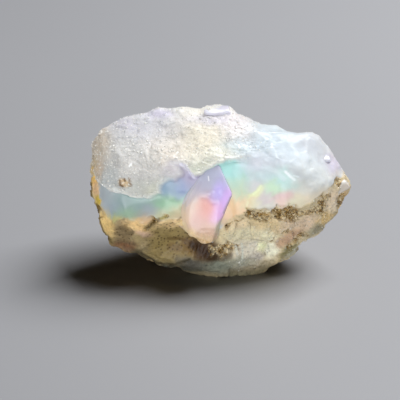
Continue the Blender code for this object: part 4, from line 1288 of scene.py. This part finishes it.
def floor_material():
    """A pale grey whose lightness drifts a little, with a dull sheen."""
    material = bpy.data.materials.new("pale floor")
    material.use_nodes = True
    tree = material.node_tree
    where = wire(tree, "ShaderNodeTexCoord").outputs["Object"]
    drift = wire(tree, "ShaderNodeTexNoise", {"Vector": where}, {"Scale": 6.0, "Detail": 2.0})
    tone = wire(tree, "ShaderNodeMix", {0: drift.outputs["Fac"]}, {6: FLOOR_DARK, 7: FLOOR_LIGHT},
                data_type="RGBA")
    shader = tree.nodes["Principled BSDF"]
    tree.links.new(tone.outputs[2], shader.inputs["Base Color"])
    shader.inputs["Roughness"].default_value = 0.6
    return material


def receivers(name, members):
    """A collection for light linking: a lamp that names it lights only these."""
    collection = bpy.data.collections.new(name)
    for member in members:
        collection.objects.link(member)
    return collection


def area_light(name, place, size, power, colour, lit):
    """A square lamp that faces the stone and lights only one collection, as a studio keeps a lamp off the
    table with a black card; the stone still throws its shadow."""
    lamp = bpy.data.lights.new(name, "AREA")
    lamp.size, lamp.energy, lamp.color = size, power, colour
    holder = bpy.data.objects.new(name, lamp)
    holder.location = place
    holder.rotation_mode = "QUATERNION"
    holder.rotation_quaternion = (HEART - Vector(place)).to_track_quat("-Z", "Y")
    bpy.context.scene.collection.objects.link(holder)
    holder.light_linking.receiver_collection = lit


stone_pieces = [piece for piece in bpy.context.scene.collection.objects if piece.type == "MESH"]
floor_mesh = bpy.data.meshes.new("floor")
corners = [(x * FLOOR_HALF, y * FLOOR_HALF, 0) for x, y in ((-1, -1), (1, -1), (1, 1), (-1, 1))]
floor_mesh.from_pydata(corners, [], [(0, 1, 2, 3)])
floor_mesh.materials.append(floor_material())
floor = bpy.data.objects.new("floor", floor_mesh)
bpy.context.scene.collection.objects.link(floor)

STONE_ONLY, FLOOR_ONLY = receivers("the stone", stone_pieces), receivers("the floor", [floor])
area_light("key, high at the back right", (0.29, 0.30, 0.70), 0.42, 9.6, (0.99, 0.99, 1.0), STONE_ONLY)
area_light("broad, over the floor", (0.31, 0.19, 0.58), 0.40, 7.0, (0.99, 0.99, 1.0), FLOOR_ONLY)
area_light("fill, front", (-0.05, -0.46, 0.08), 0.40, 2.60, (0.97, 0.985, 1.0), STONE_ONLY)
area_light("fill, left", (-0.38, -0.10, 0.20), 0.30, 0.35, (0.98, 0.99, 1.0), STONE_ONLY)
world = bpy.data.worlds.new("soft room")
world.use_nodes = True
world.node_tree.nodes["Background"].inputs["Color"].default_value = (0.93, 0.96, 1.0, 1)
world.node_tree.nodes["Background"].inputs["Strength"].default_value = 0.004
bpy.context.scene.world = world
bpy.context.scene.view_settings.view_transform = "Standard"
print("lights:", len(bpy.data.lights), "and pieces lit:", len(stone_pieces))

# %% The camera
DISTANCE = 0.2  # from the lens to the stone's middle
PICTURE = 400  # the picture's side, in pixels
SEEN_LENGTH, SEEN_PIXELS = 0.0481, 265  # the stone's length, and what it takes of the picture
MIDDLE_AT = (221, 194)  # where its middle is in the picture
camera_data = bpy.data.cameras.new("camera")
camera_data.lens = camera_data.sensor_width * (DISTANCE / SEEN_LENGTH) * (SEEN_PIXELS / PICTURE)
camera_data.clip_start = 0.001
camera_data.shift_x = (PICTURE / 2 - MIDDLE_AT[0]) / PICTURE
camera_data.shift_y = (MIDDLE_AT[1] - PICTURE / 2) / PICTURE
camera = bpy.data.objects.new("camera", camera_data)
forward = Vector((0, np.cos(VIEW_TILT), -np.sin(VIEW_TILT)))
camera.location = HEART - forward * DISTANCE
camera.rotation_mode = "QUATERNION"
camera.rotation_quaternion = forward.to_track_quat("-Z", "Y")
bpy.context.scene.collection.objects.link(camera)
bpy.context.scene.camera = camera
print("lens", round(camera_data.lens, 1), "mm")
